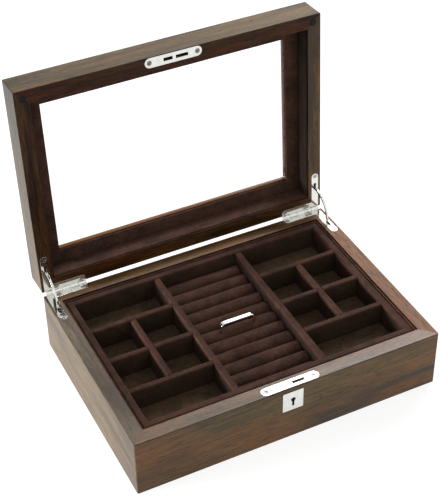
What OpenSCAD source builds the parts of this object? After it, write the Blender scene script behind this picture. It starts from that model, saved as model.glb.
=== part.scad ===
// Display box for cufflinks: a wooden case with a window lid and a lift-out tray.
// The lid stands open. Its pieces are drawn closed on the base and turned about the hinge axis.

/* [Box] */
// Width of the box, left to right
box_w = 300; // [270:1:360]
// Depth of the box, front to back
box_d = 213; // [195:1:260]
// Height of the base
base_h = 60; // [56:0.5:80]
// Height of the lid
lid_h = 28.5; // [27.5:0.5:36]
// Thickness of the mitred walls
wall_t = 13.5; // [13:0.5:18]
// Gap between the closed lid and the base
lid_gap = 0.8; // [0.5:0.1:1.2]
// Angle at which the stays stop the lid
open_angle = 93.5; // [90:0.5:100]

/* [Bottom] */
// Thickness of the bottom board
bottom_t = 5; // [4:0.5:8]
// Thickness of the felt under the bottom board
felt_t = 1; // [0.8:0.1:1.5]
// Width of the seat cut into the walls for the bottom board
bottom_seat = 7; // [4:0.5:9]

/* [Window] */
// Width of the border between the outside of the lid and the window
window_border = 28; // [25:0.5:34]
// Thickness of the top boards round the window
top_board_t = 8; // [7.5:0.5:9]
// Width of the rail left outside the top boards
rail_lip = 10; // [9.8:0.1:11]
// Thickness of the glass
glass_t = 3; // [2:0.5:4]
// Overlap of the glass on the top boards
glass_lap = 5; // [3:0.5:7]
// Clearance round the edge of the glass
glass_clear = 0.3; // [0.2:0.1:0.6]
// Thickness of the lined border that holds the glass
border_t = 1.5; // [1.2:0.1:2]
// Thickness of the lining on the rails
rail_lining_t = 1.2; // [1:0.1:1.5]
// Bare wood between the rim of the lid and its lining
rail_lining_drop = 1.5; // [1:0.5:4]

/* [Well] */
// Thickness of the boards that the tray rests on
ledge_t = 6; // [5:0.5:8]
// Thickness of the lining above the ledges
well_lining_t = 2; // [1.2:0.1:2.4]
// Bare wood between the rim of the base and the lining
well_lining_drop = 1.5; // [1:0.5:3]
// Thickness of the floor lining
floor_lining_t = 1.6; // [1.2:0.1:2.5]

/* [Tray] */
// Height of the tray
tray_h = 26; // [22:0.5:32]
// Depth of the tray's edge below the rim of the base
tray_drop = 1.8; // [1:0.2:3]
// Gap between the tray and the lining of the well
tray_gap = 0.6; // [0.5:0.1:1]
// Thickness of the tray's walls
tray_wall_t = 6.5; // [5.5:0.5:8]
// Thickness of the tray's floor
tray_floor_t = 3; // [2.5:0.5:4]
// Rounding of the padded top edges
edge_round = 2.5; // [1.5:0.1:2.6]

/* [Dividers] */
// Thickness of the long dividers beside the ring rolls
long_divider_t = 6.2; // [5.4:0.2:8]
// Width of the middle column
middle_column_w = 80.7; // [70:0.5:90]
// Thickness of the cross dividers and the short dividers
cross_divider_t = 5.8; // [5.4:0.2:7]
// Depth of the dividers' tops below the top of the tray
divider_drop = 0.8; // [0:0.2:3]
// Clearance in the lap joints of the dividers
lap_clear = 0.1; // [0.1:0.05:0.3]

/* [Ring rolls] */
// Number of ring rolls, an odd number so that one is in the middle
roll_count = 11; // [9:2:13]
// Height of the rolls above the floor of the tray
roll_h = 12; // [10:0.5:16]
// Slit between two rolls
roll_slit = 0.5; // [0.3:0.1:1]
// Gap between the ends of a roll and the long dividers
roll_end_gap = 0.3; // [0.2:0.1:0.6]

/* [Tray handle] */
// Length of the handle
handle_l = 36; // [30:1:50]
// Width of the handle's strap
handle_w = 4.5; // [3:0.5:6]
// Thickness of the handle's strap
handle_t = 1.5; // [1.2:0.1:2]
// Height of the handle above the rolls
handle_rise = 9; // [8:0.5:9.5]
// Radius of the handle's bends, outside
handle_bend = 5; // [3.5:0.5:7]
// Radius of the feet inside the middle roll
foot_r = 2.6; // [2.5:0.1:3.2]
// Height of the feet
foot_h = 6; // [5:0.5:8]
// Clearance of the handle in the middle roll
foot_clear = 0.3; // [0.2:0.1:0.5]

/* [Hinges] */
// Thickness of the hinge leaves
leaf_t = 1.8; // [1.5:0.1:2.2]
// Distance of the leaves from the side of the box
leaf_inset = 2.5; // [2.2:0.1:2.8]
// Width of the leg along the back
back_leg_w = 6.5; // [5.5:0.5:8]
// Reach of the leg along the back, from the side of the box
back_leg_reach = 44; // [40:1:60]
// Width of the leg along the side
side_leg_w = 7.5; // [7:0.1:7.8]
// Reach of the leg along the side, from the back of the box
side_leg_reach = 39.5; // [37:0.5:50]
// Clearance of a leaf in its recess
leaf_clear = 0.1; // [0.05:0.05:0.2]
// Distance of the hinge axis behind the back of the box
axis_out = 1.8; // [1.6:0.1:2.4]
// Outer radius of the hinge knuckles
knuckle_r = 2.3; // [2.1:0.1:2.6]
// Distance of the first knuckle from the side of the box
knuckle_inset = 3.5; // [3:0.5:8]
// Number of knuckles, an odd number
knuckle_count = 5; // [3:2:7]
// Gap between two knuckles, and between a knuckle and what it turns past
knuckle_clear = 0.3; // [0.2:0.05:0.4]
// Radius of the hinge pins
hinge_pin_r = 1.2; // [1:0.1:1.4]
// Clearance of the hinge pins in the knuckles
hinge_pin_clear = 0.05; // [0.02:0.01:0.08]

/* [Stays] */
// Radius of the curved stays about the hinge axis
stay_r = 24.5; // [22:0.5:25]
// Width of a stay
stay_w = 2.6; // [2:0.1:3]
// Thickness of a stay
stay_t = 1.8; // [1.4:0.1:2]
// Clearance of a stay in its slots
stay_clear = 0.4; // [0.3:0.05:0.5]
// Extra length of the slot in front of the stay
slot_extra = 4; // [1:0.5:5]
// Radius of the cross pins that stop the stay
stop_pin_r = 1.6; // [1.5:0.1:1.8]
// Length of the cross pins
stop_pin_l = 5; // [4.5:0.1:5.2]
// Clearance of the cross pins in the mortises
stop_clear = 0.6; // [0.4:0.1:0.7]
// Gap between a cross pin and the leaf that stops it
stop_gap = 0.3; // [0.2:0.05:0.4]

/* [Lock] */
// Distance of the lock from the front of the box
lock_inset = 5.7; // [5.5:0.1:7]
// Length of the lock's faceplate
faceplate_l = 56.7; // [54:0.1:64]
// Width of the lock's faceplate
faceplate_w = 9.6; // [8:0.2:10]
// Thickness of the lock's faceplate
faceplate_t = 1.4; // [1:0.1:1.6]
// Distance of the bolt slot's near end from the middle of the box
bolt_slot_start = 2.2; // [2:0.05:2.3]
// Length of the bolt slot
bolt_slot_l = 11.9; // [11.6:0.1:13]
// Width of the bolt slot
bolt_slot_w = 3.2; // [3:0.1:3.6]
// Flare at the ends of the bolt slot, each side
bolt_slot_flare = 0.5; // [0.2:0.1:0.8]
// Thickness of the lock case across the front wall
case_t = 7; // [6.5:0.1:7.2]
// Thickness of the lock case's plates
case_wall = 1.6; // [1.3:0.1:1.7]
// Room in the case below the key
case_below_key = 8.4; // [8:0.2:10]
// Clearance of the case in the wood
case_clear = 0.1; // [0.05:0.05:0.2]
// Depth of the key's centre below the rim
key_depth = 13.8; // [13.2:0.1:14.2]
// Radius of the hub that the key turns
hub_r = 2.9; // [2.7:0.1:3]
// Radius of the hub's tail
hub_tail_r = 1.5; // [1.2:0.1:1.8]
// Clearance of the hub in the case
hub_clear = 0.05; // [0.02:0.01:0.08]
// Width of the slot that takes the key's bit
bit_slot_w = 1.4; // [1.2:0.1:1.6]
// Thickness of the hook
hook_t = 2.6; // [2.2:0.1:2.7]
// Thickness of the hook's nose
hook_nose_t = 1.8; // [1.4:0.1:2]
// Clearance of the hook above the strike plate
hook_lift = 0.35; // [0.25:0.05:0.45]
// Clearance of the hook in the case
hook_clear = 0.25; // [0.2:0.05:0.3]
// Angle between the two edges of the hook's arm
hook_arm_angle = 9; // [7:0.5:10]

/* [Strike] */
// Length of the strike plate
strike_l = 56; // [54:0.5:62]
// Width of the strike plate
strike_w = 10; // [8.5:0.5:10]
// Thickness of the strike plate
strike_t = 1.2; // [1:0.1:1.4]
// Width of the bar between the two windows
catch_bar = 3.1; // [2.8:0.1:3.3]
// Length of the spare window
spare_window_l = 8.9; // [6:0.1:10]
// Radius of the bumpers
bumper_r = 3.5; // [2.5:0.5:4]
// Distance of the bumpers from the outside of the lid
bumper_inset = 8; // [7:0.5:9]
// Depth of the bumpers' seat in the rim
bumper_seat = 0.8; // [0.5:0.1:1.5]
// Clearance of the bumpers above the rim of the base
bumper_clear = 0.2; // [0.1:0.1:0.3]

/* [Escutcheon] */
// Width of the escutcheon
escutcheon_w = 20.4; // [18:0.2:24]
// Height of the escutcheon
escutcheon_h = 21.5; // [19.5:0.5:24]
// Thickness of the escutcheon
escutcheon_t = 1.4; // [1.2:0.1:2]
// Depth of the escutcheon's seat in the front wall
escutcheon_seat = 0.6; // [0.4:0.1:1]
// Height of the keyhole's round part above the escutcheon's middle
keyhole_raise = 1.7; // [0.5:0.1:2.5]
// Radius of the keyhole's round part
keyhole_r = 2.3; // [2:0.1:2.6]
// Width of the keyhole's slot
keyhole_slot_w = 2.2; // [1.8:0.1:2.4]
// Length of the keyhole's slot, from the centre of its round part
keyhole_slot_l = 7.5; // [6:0.1:7.8]

/* [Screws] */
// Radius of the screws' shanks
screw_r = 1.2; // [1:0.1:1.3]
// Radius of the screws' heads
screw_head_r = 2.3; // [2:0.1:2.4]
// Height of the countersunk heads
screw_head_h = 1.3; // [1:0.1:1.4]
// Length of the wood screws
screw_l = 10; // [8:0.5:14]
// Width of the cross in the screws' heads
cross_w = 0.6; // [0.4:0.05:0.8]
// Length of the cross in the screws' heads
cross_l = 2.8; // [2.2:0.1:3.2]
// Clearance of the screws in their holes
screw_clear = 0.05; // [0.03:0.01:0.1]
// Distance of the lock's and the strike's screws from the middle
lock_screw_x = 23.5; // [23:0.1:24]
// Distance of the outer hinge screws from the side of the box
outer_screw_x = 15; // [14:0.5:20]
// Distance of the other screws from the ends of the legs
end_screw_inset = 3.2; // [3:0.1:5]

/* [Hidden] */
$fn = 64;
// A cut reaches this far past the surface that it opens
over = 1;

walnut = [0.36, 0.27, 0.21];
dark_walnut = [0.27, 0.17, 0.12];
suede = [0.23, 0.13, 0.12];
chrome = [0.82, 0.82, 0.84];
felt = [0.08, 0.08, 0.08];

// Heights in the base
bottom_z = felt_t;
well_floor_z = bottom_z + bottom_t;
tray_z = base_h - tray_drop - tray_h;
tray_floor_z = tray_z + tray_floor_t;
roll_top_z = tray_floor_z + roll_h;

// Plan sizes of the well and the tray
well_w = box_w - 2 * wall_t;
well_d = box_d - 2 * wall_t;
tray_w = well_w - 2 * (well_lining_t + tray_gap);
tray_d = well_d - 2 * (well_lining_t + tray_gap);
tray_in_w = tray_w - 2 * tray_wall_t;
tray_in_d = tray_d - 2 * tray_wall_t;

// Frame of boards round the window
top_frame_w = box_w - 2 * rail_lip;
top_frame_d = box_d - 2 * rail_lip;
top_board_w = window_border - rail_lip;

// Dividers
divider_h = tray_h - tray_floor_t - divider_drop;
long_divider_x = (middle_column_w + long_divider_t) / 2;
side_column_w = tray_in_w / 2 - long_divider_x - long_divider_t / 2;
side_column_x = tray_in_w / 2 - side_column_w / 2;
row_d = (tray_in_d - 3 * cross_divider_t) / 4;
row_step = row_d + cross_divider_t;
short_divider_l = 2 * row_step - cross_divider_t;

// Ring rolls
roll_step = tray_in_d / roll_count;
roll_w = roll_step - roll_slit;
rolls_each_side = (roll_count - 1) / 2;

// Hinge axis
axis_y = box_d / 2 + axis_out;
axis_z = base_h + lid_gap / 2;
knuckle_l = (back_leg_reach - knuckle_inset) / knuckle_count;
leg_x = box_w / 2 - leaf_inset - side_leg_w / 2;

// Stays: the angle from the middle of a stay to each of its cross pins
stop_angle = asin((lid_gap / 2 + leaf_t + stop_gap + stop_pin_r) / stay_r);
stay_half = open_angle / 2 + stop_angle;
mortise_w = stop_pin_l + 2 * stop_clear;
mortise_front = stay_r + stop_pin_r + stop_clear;
mortise_back = stay_r * cos(stay_half) - stop_pin_r - stop_clear;
mortise_depth = stay_r * sin(stay_half) - lid_gap / 2 + stop_pin_r + stop_clear;

// Lock
lock_y = lock_inset - box_d / 2;
key_z = base_h - key_depth;
hook_in_r = key_depth + lid_gap + strike_t + hook_lift;
hook_out_r = hook_in_r + hook_nose_t;
case_half_l = hook_out_r + hook_clear + case_wall;
case_top_z = base_h - faceplate_t;
case_h = key_depth - faceplate_t + case_below_key;
bolt_slot_mid = bolt_slot_start + bolt_slot_l / 2;
// The arm stands just inside the near end of the bolt slot when the lock is shut
hook_arm_end = atan2(key_depth - faceplate_t, bolt_slot_start + 2 * hook_clear);
hook_tip_angle = atan2(hook_in_r, bolt_slot_start - catch_bar + 2 * hook_clear);
strike_pocket_h = hook_out_r - key_depth - lid_gap + 2 * hook_clear;
bumper_h = bumper_seat + lid_gap - bumper_clear;

// Plan outline of the front piece of a mitred frame
module front_outline(w, d, t) {
    polygon([
        [-w / 2, -d / 2],
        [w / 2, -d / 2],
        [w / 2 - t, -d / 2 + t],
        [-w / 2 + t, -d / 2 + t]
    ]);
}

// Plan outline of the left piece of a mitred frame
module left_outline(w, d, t) {
    polygon([
        [-w / 2, -d / 2],
        [-w / 2 + t, -d / 2 + t],
        [-w / 2 + t, d / 2 - t],
        [-w / 2, d / 2]
    ]);
}

// Front piece of a mitred frame, h high
module front_board(w, d, t, h) {
    linear_extrude(h) front_outline(w, d, t);
}

// Left piece of a mitred frame, h high
module left_board(w, d, t, h) {
    linear_extrude(h) left_outline(w, d, t);
}

// Box centred on the vertical axis, standing on z = 0
module centred_box(w, d, h) {
    translate([-w / 2, -d / 2, 0]) cube([w, d, h]);
}

// Flat bar with round ends along x, standing on z = 0
module round_bar(l, w, h) {
    centred_box(l - w, w, h);
    for (side = [-1, 1])
        translate([side * (l - w) / 2, 0, 0]) cylinder(d = w, h = h);
}

// Padded board along x with rounded top edges, standing on z = 0
module padded_board(l, t, h, r) {
    centred_box(l, t, h - r);
    centred_box(l, t - 2 * r, h);
    for (side = [-1, 1])
        translate([-l / 2, side * (t / 2 - r), h - r])
            rotate([0, 90, 0]) cylinder(r = r, h = l);
}

// Lid pieces are drawn closed on the base and swung open here
module swung(angle) {
    translate([0, axis_y, axis_z])
        rotate([-angle, 0, 0])
            translate([0, -axis_y, -axis_z])
                children();
}

// Rim plane of the closed lid becomes z = 0
module on_lid_rim() {
    translate([0, 0, base_h + lid_gap]) children();
}

// Right-hand hinge parts are drawn once and mirrored to the left
module on_side(side) {
    if (side > 0) children();
    else mirror([1, 0, 0]) children();
}

// The lid's leaf and recess are the base's, turned over about the middle of the gap
module turned_over() {
    translate([0, 0, 2 * axis_z]) mirror([0, 0, 1]) children();
}

// Countersunk wood screw, its head flush with z = 0 and its point downwards
module wood_screw() {
    difference() {
        union() {
            translate([0, 0, -screw_head_h])
                cylinder(r1 = screw_r, r2 = screw_head_r, h = screw_head_h);
            translate([0, 0, -screw_l]) cylinder(r = screw_r, h = screw_l - screw_head_h);
        }
        for (turn = [45, 135])
            translate([0, 0, -screw_head_h / 2])
                rotate([0, 0, turn]) centred_box(cross_l, cross_w, screw_head_h);
    }
}

// Hole for a wood screw, countersunk at z = 0
module screw_hole() {
    translate([0, 0, -screw_head_h])
        cylinder(r1 = screw_r + screw_clear, r2 = screw_head_r + screw_clear, h = screw_head_h);
    translate([0, 0, -screw_l - screw_clear])
        cylinder(r = screw_r + screw_clear, h = screw_l + screw_clear);
    cylinder(r = screw_head_r + screw_clear, h = over);
}

// Seat for the bottom board and the felt, cut from below
module bottom_seat_cut() {
    seat_w = well_w + 2 * bottom_seat;
    seat_d = well_d + 2 * bottom_seat;
    translate([0, 0, -over]) centred_box(seat_w, seat_d, well_floor_z + over);
}

// Where the three screws of the right-hand leaf stand, on the rim of the base
module at_leaf_screws() {
    back_y = box_d / 2 - back_leg_w / 2;
    places = [
        [box_w / 2 - outer_screw_x, back_y],
        [box_w / 2 - back_leg_reach + end_screw_inset, back_y],
        [leg_x, box_d / 2 - side_leg_reach + end_screw_inset]
    ];
    for (place = places)
        translate([place[0], place[1], base_h]) children();
}

// L-shaped plan of the right-hand leaf, grown by a clearance. Its back leg ends round in front
// and square behind, where the last knuckle stands.
module leaf_plan(grow) {
    back_leg_l = back_leg_reach - leaf_inset - back_leg_w / 2;
    side_leg_l = side_leg_reach - side_leg_w / 2;
    translate([box_w / 2 - leaf_inset - back_leg_l, box_d / 2 - back_leg_w - grow])
        square([back_leg_l + grow, back_leg_w + grow]);
    translate([box_w / 2 - leaf_inset - back_leg_l, box_d / 2 - back_leg_w / 2])
        circle(d = back_leg_w + 2 * grow);
    translate([box_w / 2 - back_leg_reach - grow, box_d / 2 - back_leg_w / 2])
        square([back_leg_w / 2 + grow, back_leg_w / 2]);
    translate([leg_x - side_leg_w / 2 - grow, box_d / 2 - side_leg_l])
        square([side_leg_w + 2 * grow, side_leg_l]);
    translate([leg_x, box_d / 2 - side_leg_l])
        circle(d = side_leg_w + 2 * grow);
}

// Room round the hinge axis, from a distance to the side of the box and l long
module knuckle_room(from_side, l) {
    translate([box_w / 2 - from_side - l, axis_y, axis_z])
        rotate([0, 90, 0]) cylinder(r = knuckle_r + knuckle_clear, h = l);
}

// Recess of the right-hand leaf, with the groove for its knuckles, the mortise for the stay
// and the screw holes
module leaf_recess() {
    knuckle_room(knuckle_inset - knuckle_clear, back_leg_reach - knuckle_inset + 2 * knuckle_clear);
    translate([0, 0, base_h - leaf_t])
        linear_extrude(leaf_t + over) leaf_plan(leaf_clear);
    translate([leg_x - mortise_w / 2, axis_y - mortise_front, base_h - mortise_depth])
        cube([mortise_w, mortise_front - mortise_back, mortise_depth + over]);
    at_leaf_screws() screw_hole();
}

// Knuckles of the right-hand hinge: the even ones or the odd ones
module knuckles(odd) {
    for (k = [0 : knuckle_count - 1])
        if (k % 2 == odd)
            translate([box_w / 2 - knuckle_inset - (k + 1) * knuckle_l + knuckle_clear / 2, 0, 0]) {
                length = knuckle_l - knuckle_clear;
                translate([0, axis_y, axis_z])
                    rotate([0, 90, 0]) cylinder(r = knuckle_r, h = length);
                translate([0, box_d / 2 - back_leg_w / 2, base_h - leaf_t])
                    cube([length, axis_y - box_d / 2 + back_leg_w / 2, leaf_t]);
            }
}

// Right-hand leaf as it lies in the base; odd picks the knuckles of the other leaf
module leaf(odd) {
    slot_w = stay_t + 2 * stay_clear;
    slot_back = axis_y - stay_r + stay_w / 2 + stay_clear;
    slot_l = stay_w + 2 * stay_clear + slot_extra;
    difference() {
        union() {
            translate([0, 0, base_h - leaf_t]) linear_extrude(leaf_t) leaf_plan(0);
            knuckles(odd);
        }
        for (k = [0 : knuckle_count - 1])
            if (k % 2 != odd) knuckle_room(knuckle_inset + k * knuckle_l, knuckle_l);
        translate([0, axis_y, axis_z])
            rotate([0, 90, 0]) cylinder(r = hinge_pin_r + hinge_pin_clear, h = box_w);
        translate([leg_x - slot_w / 2, slot_back - slot_l, base_h - leaf_t - over])
            cube([slot_w, slot_l, leaf_t + 2 * over]);
        at_leaf_screws() screw_hole();
    }
}

// Curved stay with a cross pin at each end, drawn in the middle of its travel
module stay() {
    translate([leg_x, axis_y, axis_z]) {
        rotate([0, -90, 0])
            rotate([0, 0, -90 - stay_half])
                rotate_extrude(angle = 2 * stay_half)
                    translate([stay_r - stay_w / 2, -stay_t / 2]) square([stay_w, stay_t]);
        for (end = [-1, 1])
            rotate([end * stay_half, 0, 0])
                translate([-stop_pin_l / 2, -stay_r, 0])
                    rotate([0, 90, 0]) cylinder(r = stop_pin_r, h = stop_pin_l);
    }
}

// Lies in the lock's middle plane, with the key's centre at the origin and x to the right
module in_lock_plane() {
    translate([0, lock_y, key_z]) rotate([90, 0, 0]) children();
}

// Keyhole outline, its round part at the origin
module keyhole_outline() {
    circle(r = keyhole_r);
    translate([-keyhole_slot_w / 2, -keyhole_slot_l]) square([keyhole_slot_w, keyhole_slot_l]);
}

// Keyhole through the front wall, from its face to the lock case
module keyhole_cut() {
    translate([0, -box_d / 2, key_z])
        rotate([90, 0, 0])
            translate([0, 0, -lock_inset]) linear_extrude(lock_inset + over) keyhole_outline();
}

// Plan of the bolt slot, flared at both ends
module bolt_slot_plan() {
    half_l = bolt_slot_l / 2;
    half_w = bolt_slot_w / 2;
    flare_w = half_w + bolt_slot_flare;
    translate([bolt_slot_mid, lock_y])
        polygon([
            [-half_l, -flare_w],
            [-half_l + 2 * bolt_slot_flare, -half_w],
            [half_l - 2 * bolt_slot_flare, -half_w],
            [half_l, -flare_w],
            [half_l, flare_w],
            [half_l - 2 * bolt_slot_flare, half_w],
            [-half_l + 2 * bolt_slot_flare, half_w],
            [-half_l, flare_w]
        ]);
}

// The two screws of the lock's faceplate or of the strike plate
module at_lock_screws() {
    for (side = [-1, 1])
        translate([side * lock_screw_x, lock_y, 0]) children();
}

module base_front_wall() {
    color(walnut)
        difference() {
            front_board(box_w, box_d, wall_t, base_h);
            bottom_seat_cut();
            translate([0, lock_y, base_h - faceplate_t])
                round_bar(faceplate_l, faceplate_w, faceplate_t + over);
            translate([0, lock_y, case_top_z - case_h - case_clear])
                centred_box(2 * (case_half_l + case_clear), case_t + 2 * case_clear, base_h);
            keyhole_cut();
            translate([0, -box_d / 2 + escutcheon_seat, key_z - keyhole_raise])
                rotate([90, 0, 0])
                    translate([-escutcheon_w / 2, -escutcheon_h / 2, 0])
                        cube([escutcheon_w, escutcheon_h, escutcheon_seat + over]);
            translate([0, 0, base_h]) at_lock_screws() screw_hole();
        }
}

module base_back_wall() {
    color(walnut)
        difference() {
            mirror([0, 1, 0]) front_board(box_w, box_d, wall_t, base_h);
            bottom_seat_cut();
            for (side = [-1, 1]) on_side(side) leaf_recess();
        }
}

module base_side_wall(side) {
    color(walnut)
        difference() {
            on_side(-side) left_board(box_w, box_d, wall_t, base_h);
            bottom_seat_cut();
            on_side(side) leaf_recess();
        }
}

module base_left_wall() {
    base_side_wall(-1);
}

module base_right_wall() {
    base_side_wall(1);
}

module bottom_board() {
    color(dark_walnut)
        translate([0, 0, bottom_z])
            centred_box(well_w + 2 * bottom_seat, well_d + 2 * bottom_seat, bottom_t);
}

module felt_pad() {
    color(felt)
        centred_box(well_w + 2 * bottom_seat, well_d + 2 * bottom_seat, felt_t);
}

module floor_lining() {
    color(suede)
        translate([0, 0, well_floor_z])
            centred_box(well_w - 2 * ledge_t, well_d - 2 * ledge_t, floor_lining_t);
}

module front_ledge() {
    color(suede)
        translate([0, 0, well_floor_z])
            front_board(well_w, well_d, ledge_t, tray_z - well_floor_z);
}

module back_ledge() {
    mirror([0, 1, 0]) front_ledge();
}

module left_ledge() {
    color(suede)
        translate([0, 0, well_floor_z])
            left_board(well_w, well_d, ledge_t, tray_z - well_floor_z);
}

module right_ledge() {
    mirror([1, 0, 0]) left_ledge();
}

module well_linings() {
    lining_h = base_h - well_lining_drop - tray_z;
    color(suede)
        translate([0, 0, tray_z]) {
            front_board(well_w, well_d, well_lining_t, lining_h);
            mirror([0, 1, 0]) front_board(well_w, well_d, well_lining_t, lining_h);
            for (side = [-1, 1])
                on_side(side) left_board(well_w, well_d, well_lining_t, lining_h);
        }
}

module lock_faceplate() {
    color(chrome)
        difference() {
            translate([0, lock_y, base_h - faceplate_t])
                round_bar(faceplate_l, faceplate_w, faceplate_t);
            translate([0, 0, base_h - faceplate_t - over])
                linear_extrude(faceplate_t + 2 * over) bolt_slot_plan();
            translate([0, 0, base_h]) at_lock_screws() screw_hole();
        }
}

module lock_case() {
    cavity_t = hook_t + 2 * hook_clear;
    color("dimgray")
        difference() {
            translate([0, lock_y, case_top_z - case_h])
                centred_box(2 * case_half_l, case_t, case_h);
            translate([0, lock_y, case_top_z - case_h + case_wall])
                centred_box(2 * (case_half_l - case_wall), cavity_t, case_h);
            in_lock_plane() {
                cylinder(r = hub_r + hub_clear, h = case_t);
                translate([0, 0, -case_t]) cylinder(r = hub_tail_r + hub_clear, h = case_t);
                linear_extrude(case_t) keyhole_outline();
            }
        }
}

module lock_screws() {
    color(chrome)
        translate([0, 0, base_h]) at_lock_screws() wood_screw();
}

module escutcheon() {
    color(chrome)
        translate([0, -box_d / 2 + escutcheon_seat, key_z])
            rotate([90, 0, 0])
                linear_extrude(escutcheon_t)
                    difference() {
                        translate([-escutcheon_w / 2, -escutcheon_h / 2 - keyhole_raise])
                            square([escutcheon_w, escutcheon_h]);
                        keyhole_outline();
                    }
}

module key_hub() {
    front_z = case_t / 2;
    back_z = -hook_t / 2;
    color("dimgray")
        in_lock_plane()
            difference() {
                union() {
                    translate([0, 0, back_z]) cylinder(r = hub_r, h = front_z - back_z);
                    translate([0, 0, -case_t / 2]) cylinder(r = hub_tail_r, h = case_t / 2);
                }
                translate([-bit_slot_w / 2, -hub_r - over, 0])
                    cube([bit_slot_w, hub_r + over, case_t]);
            }
}

// The hook is drawn locked, its nose over the bar of the strike, and turned back to rest
module lock_hook() {
    boss_r = hub_r + case_wall;
    arm_start = hook_arm_end - hook_arm_angle;
    color("darkgray")
        in_lock_plane()
            rotate([0, 0, -90])
                translate([0, 0, -hook_t / 2])
                    difference() {
                        union() {
                            cylinder(r = boss_r, h = hook_t);
                            rotate([0, 0, arm_start])
                                rotate_extrude(angle = hook_arm_angle)
                                    square([hook_out_r, hook_t]);
                            rotate([0, 0, arm_start])
                                rotate_extrude(angle = hook_tip_angle - arm_start)
                                    translate([hook_in_r, 0]) square([hook_nose_t, hook_t]);
                        }
                        translate([0, 0, -over])
                            cylinder(r = hub_r + hub_clear, h = hook_t + 2 * over);
                    }
}

module left_base_leaf() {
    color(chrome) on_side(-1) leaf(0);
}

module right_base_leaf() {
    color(chrome) on_side(1) leaf(0);
}

module base_hinge_screws() {
    color(chrome)
        for (side = [-1, 1]) on_side(side) at_leaf_screws() wood_screw();
}

module hinge_pins() {
    color(chrome)
        for (side = [-1, 1])
            on_side(side)
                translate([box_w / 2 - back_leg_reach, axis_y, axis_z])
                    rotate([0, 90, 0])
                        cylinder(r = hinge_pin_r, h = back_leg_reach - knuckle_inset);
}

// Seat of the top boards, cut into the rails from above
module top_seat_cut() {
    translate([0, 0, lid_h - top_board_t]) centred_box(top_frame_w, top_frame_d, top_board_t + over);
}

module lid_front_rail() {
    pocket_start = bolt_slot_start - catch_bar - spare_window_l;
    pocket_end = bolt_slot_start + bolt_slot_l + 2 * hook_clear;
    color(walnut)
        swung(open_angle)
            on_lid_rim()
                difference() {
                    front_board(box_w, box_d, wall_t, lid_h);
                    top_seat_cut();
                    translate([0, lock_y, -over]) round_bar(strike_l, strike_w, strike_t + over);
                    translate([pocket_start, lock_y - bolt_slot_w / 2, -over])
                        cube([pocket_end - pocket_start, bolt_slot_w, strike_pocket_h + over]);
                    mirror([0, 0, 1]) at_lock_screws() screw_hole();
                    bumper_seat_cut();
                }
}

module lid_back_rail() {
    color(walnut)
        swung(open_angle)
            difference() {
                on_lid_rim()
                    difference() {
                        mirror([0, 1, 0]) front_board(box_w, box_d, wall_t, lid_h);
                        top_seat_cut();
                    }
                turned_over()
                    for (side = [-1, 1]) on_side(side) leaf_recess();
            }
}

module lid_side_rail(side) {
    color(walnut)
        swung(open_angle)
            difference() {
                on_lid_rim()
                    difference() {
                        on_side(-side) left_board(box_w, box_d, wall_t, lid_h);
                        top_seat_cut();
                        bumper_seat_cut();
                    }
                turned_over() on_side(side) leaf_recess();
            }
}

module lid_left_rail() {
    lid_side_rail(-1);
}

module lid_right_rail() {
    lid_side_rail(1);
}

// Seat of the glass, cut into the top boards from below
module glass_seat_cut() {
    seat_w = box_w - 2 * (window_border - glass_lap);
    seat_d = box_d - 2 * (window_border - glass_lap);
    translate([0, 0, lid_h - top_board_t - over]) centred_box(seat_w, seat_d, glass_t + over);
}

// The child is one board of the window's frame; it gets its seat for the glass
module top_board() {
    color(walnut)
        swung(open_angle)
            on_lid_rim()
                difference() {
                    translate([0, 0, lid_h - top_board_t]) children();
                    glass_seat_cut();
                }
}

module front_top_board() {
    top_board() front_board(top_frame_w, top_frame_d, top_board_w, top_board_t);
}

module back_top_board() {
    top_board() mirror([0, 1, 0]) front_board(top_frame_w, top_frame_d, top_board_w, top_board_t);
}

module left_top_board() {
    top_board() left_board(top_frame_w, top_frame_d, top_board_w, top_board_t);
}

module right_top_board() {
    mirror([1, 0, 0]) left_top_board();
}

module window_glass() {
    shrink = window_border - glass_lap + glass_clear;
    color([0.85, 0.92, 0.95, 0.3])
        swung(open_angle)
            on_lid_rim()
                translate([0, 0, lid_h - top_board_t])
                    centred_box(box_w - 2 * shrink, box_d - 2 * shrink, glass_t);
}

module window_border() {
    color(suede)
        swung(open_angle)
            on_lid_rim()
                translate([0, 0, lid_h - top_board_t - border_t])
                    difference() {
                        centred_box(well_w, well_d, border_t);
                        translate([0, 0, -over])
                            centred_box(
                                box_w - 2 * window_border, box_d - 2 * window_border,
                                border_t + 2 * over
                            );
                    }
}

module rail_linings() {
    lining_h = lid_h - top_board_t - border_t - rail_lining_drop;
    color(suede)
        swung(open_angle)
            on_lid_rim()
                translate([0, 0, rail_lining_drop]) {
                    front_board(well_w, well_d, rail_lining_t, lining_h);
                    mirror([0, 1, 0]) front_board(well_w, well_d, rail_lining_t, lining_h);
                    for (side = [-1, 1])
                        on_side(side) left_board(well_w, well_d, rail_lining_t, lining_h);
                }
}

module strike_plate() {
    bolt_window_l = bolt_slot_l + hook_clear;
    spare_window_start = bolt_slot_start - catch_bar - spare_window_l;
    color(chrome)
        swung(open_angle)
            on_lid_rim()
                difference() {
                    translate([0, lock_y, 0]) round_bar(strike_l, strike_w, strike_t);
                    translate([bolt_slot_start, lock_y - bolt_slot_w / 2, -over])
                        cube([bolt_window_l, bolt_slot_w, strike_t + 2 * over]);
                    translate([spare_window_start, lock_y - bolt_slot_w / 2, -over])
                        cube([spare_window_l, bolt_slot_w, strike_t + 2 * over]);
                    mirror([0, 0, 1]) at_lock_screws() screw_hole();
                }
}

module strike_screws() {
    color(chrome)
        swung(open_angle)
            on_lid_rim() mirror([0, 0, 1]) at_lock_screws() wood_screw();
}

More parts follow.
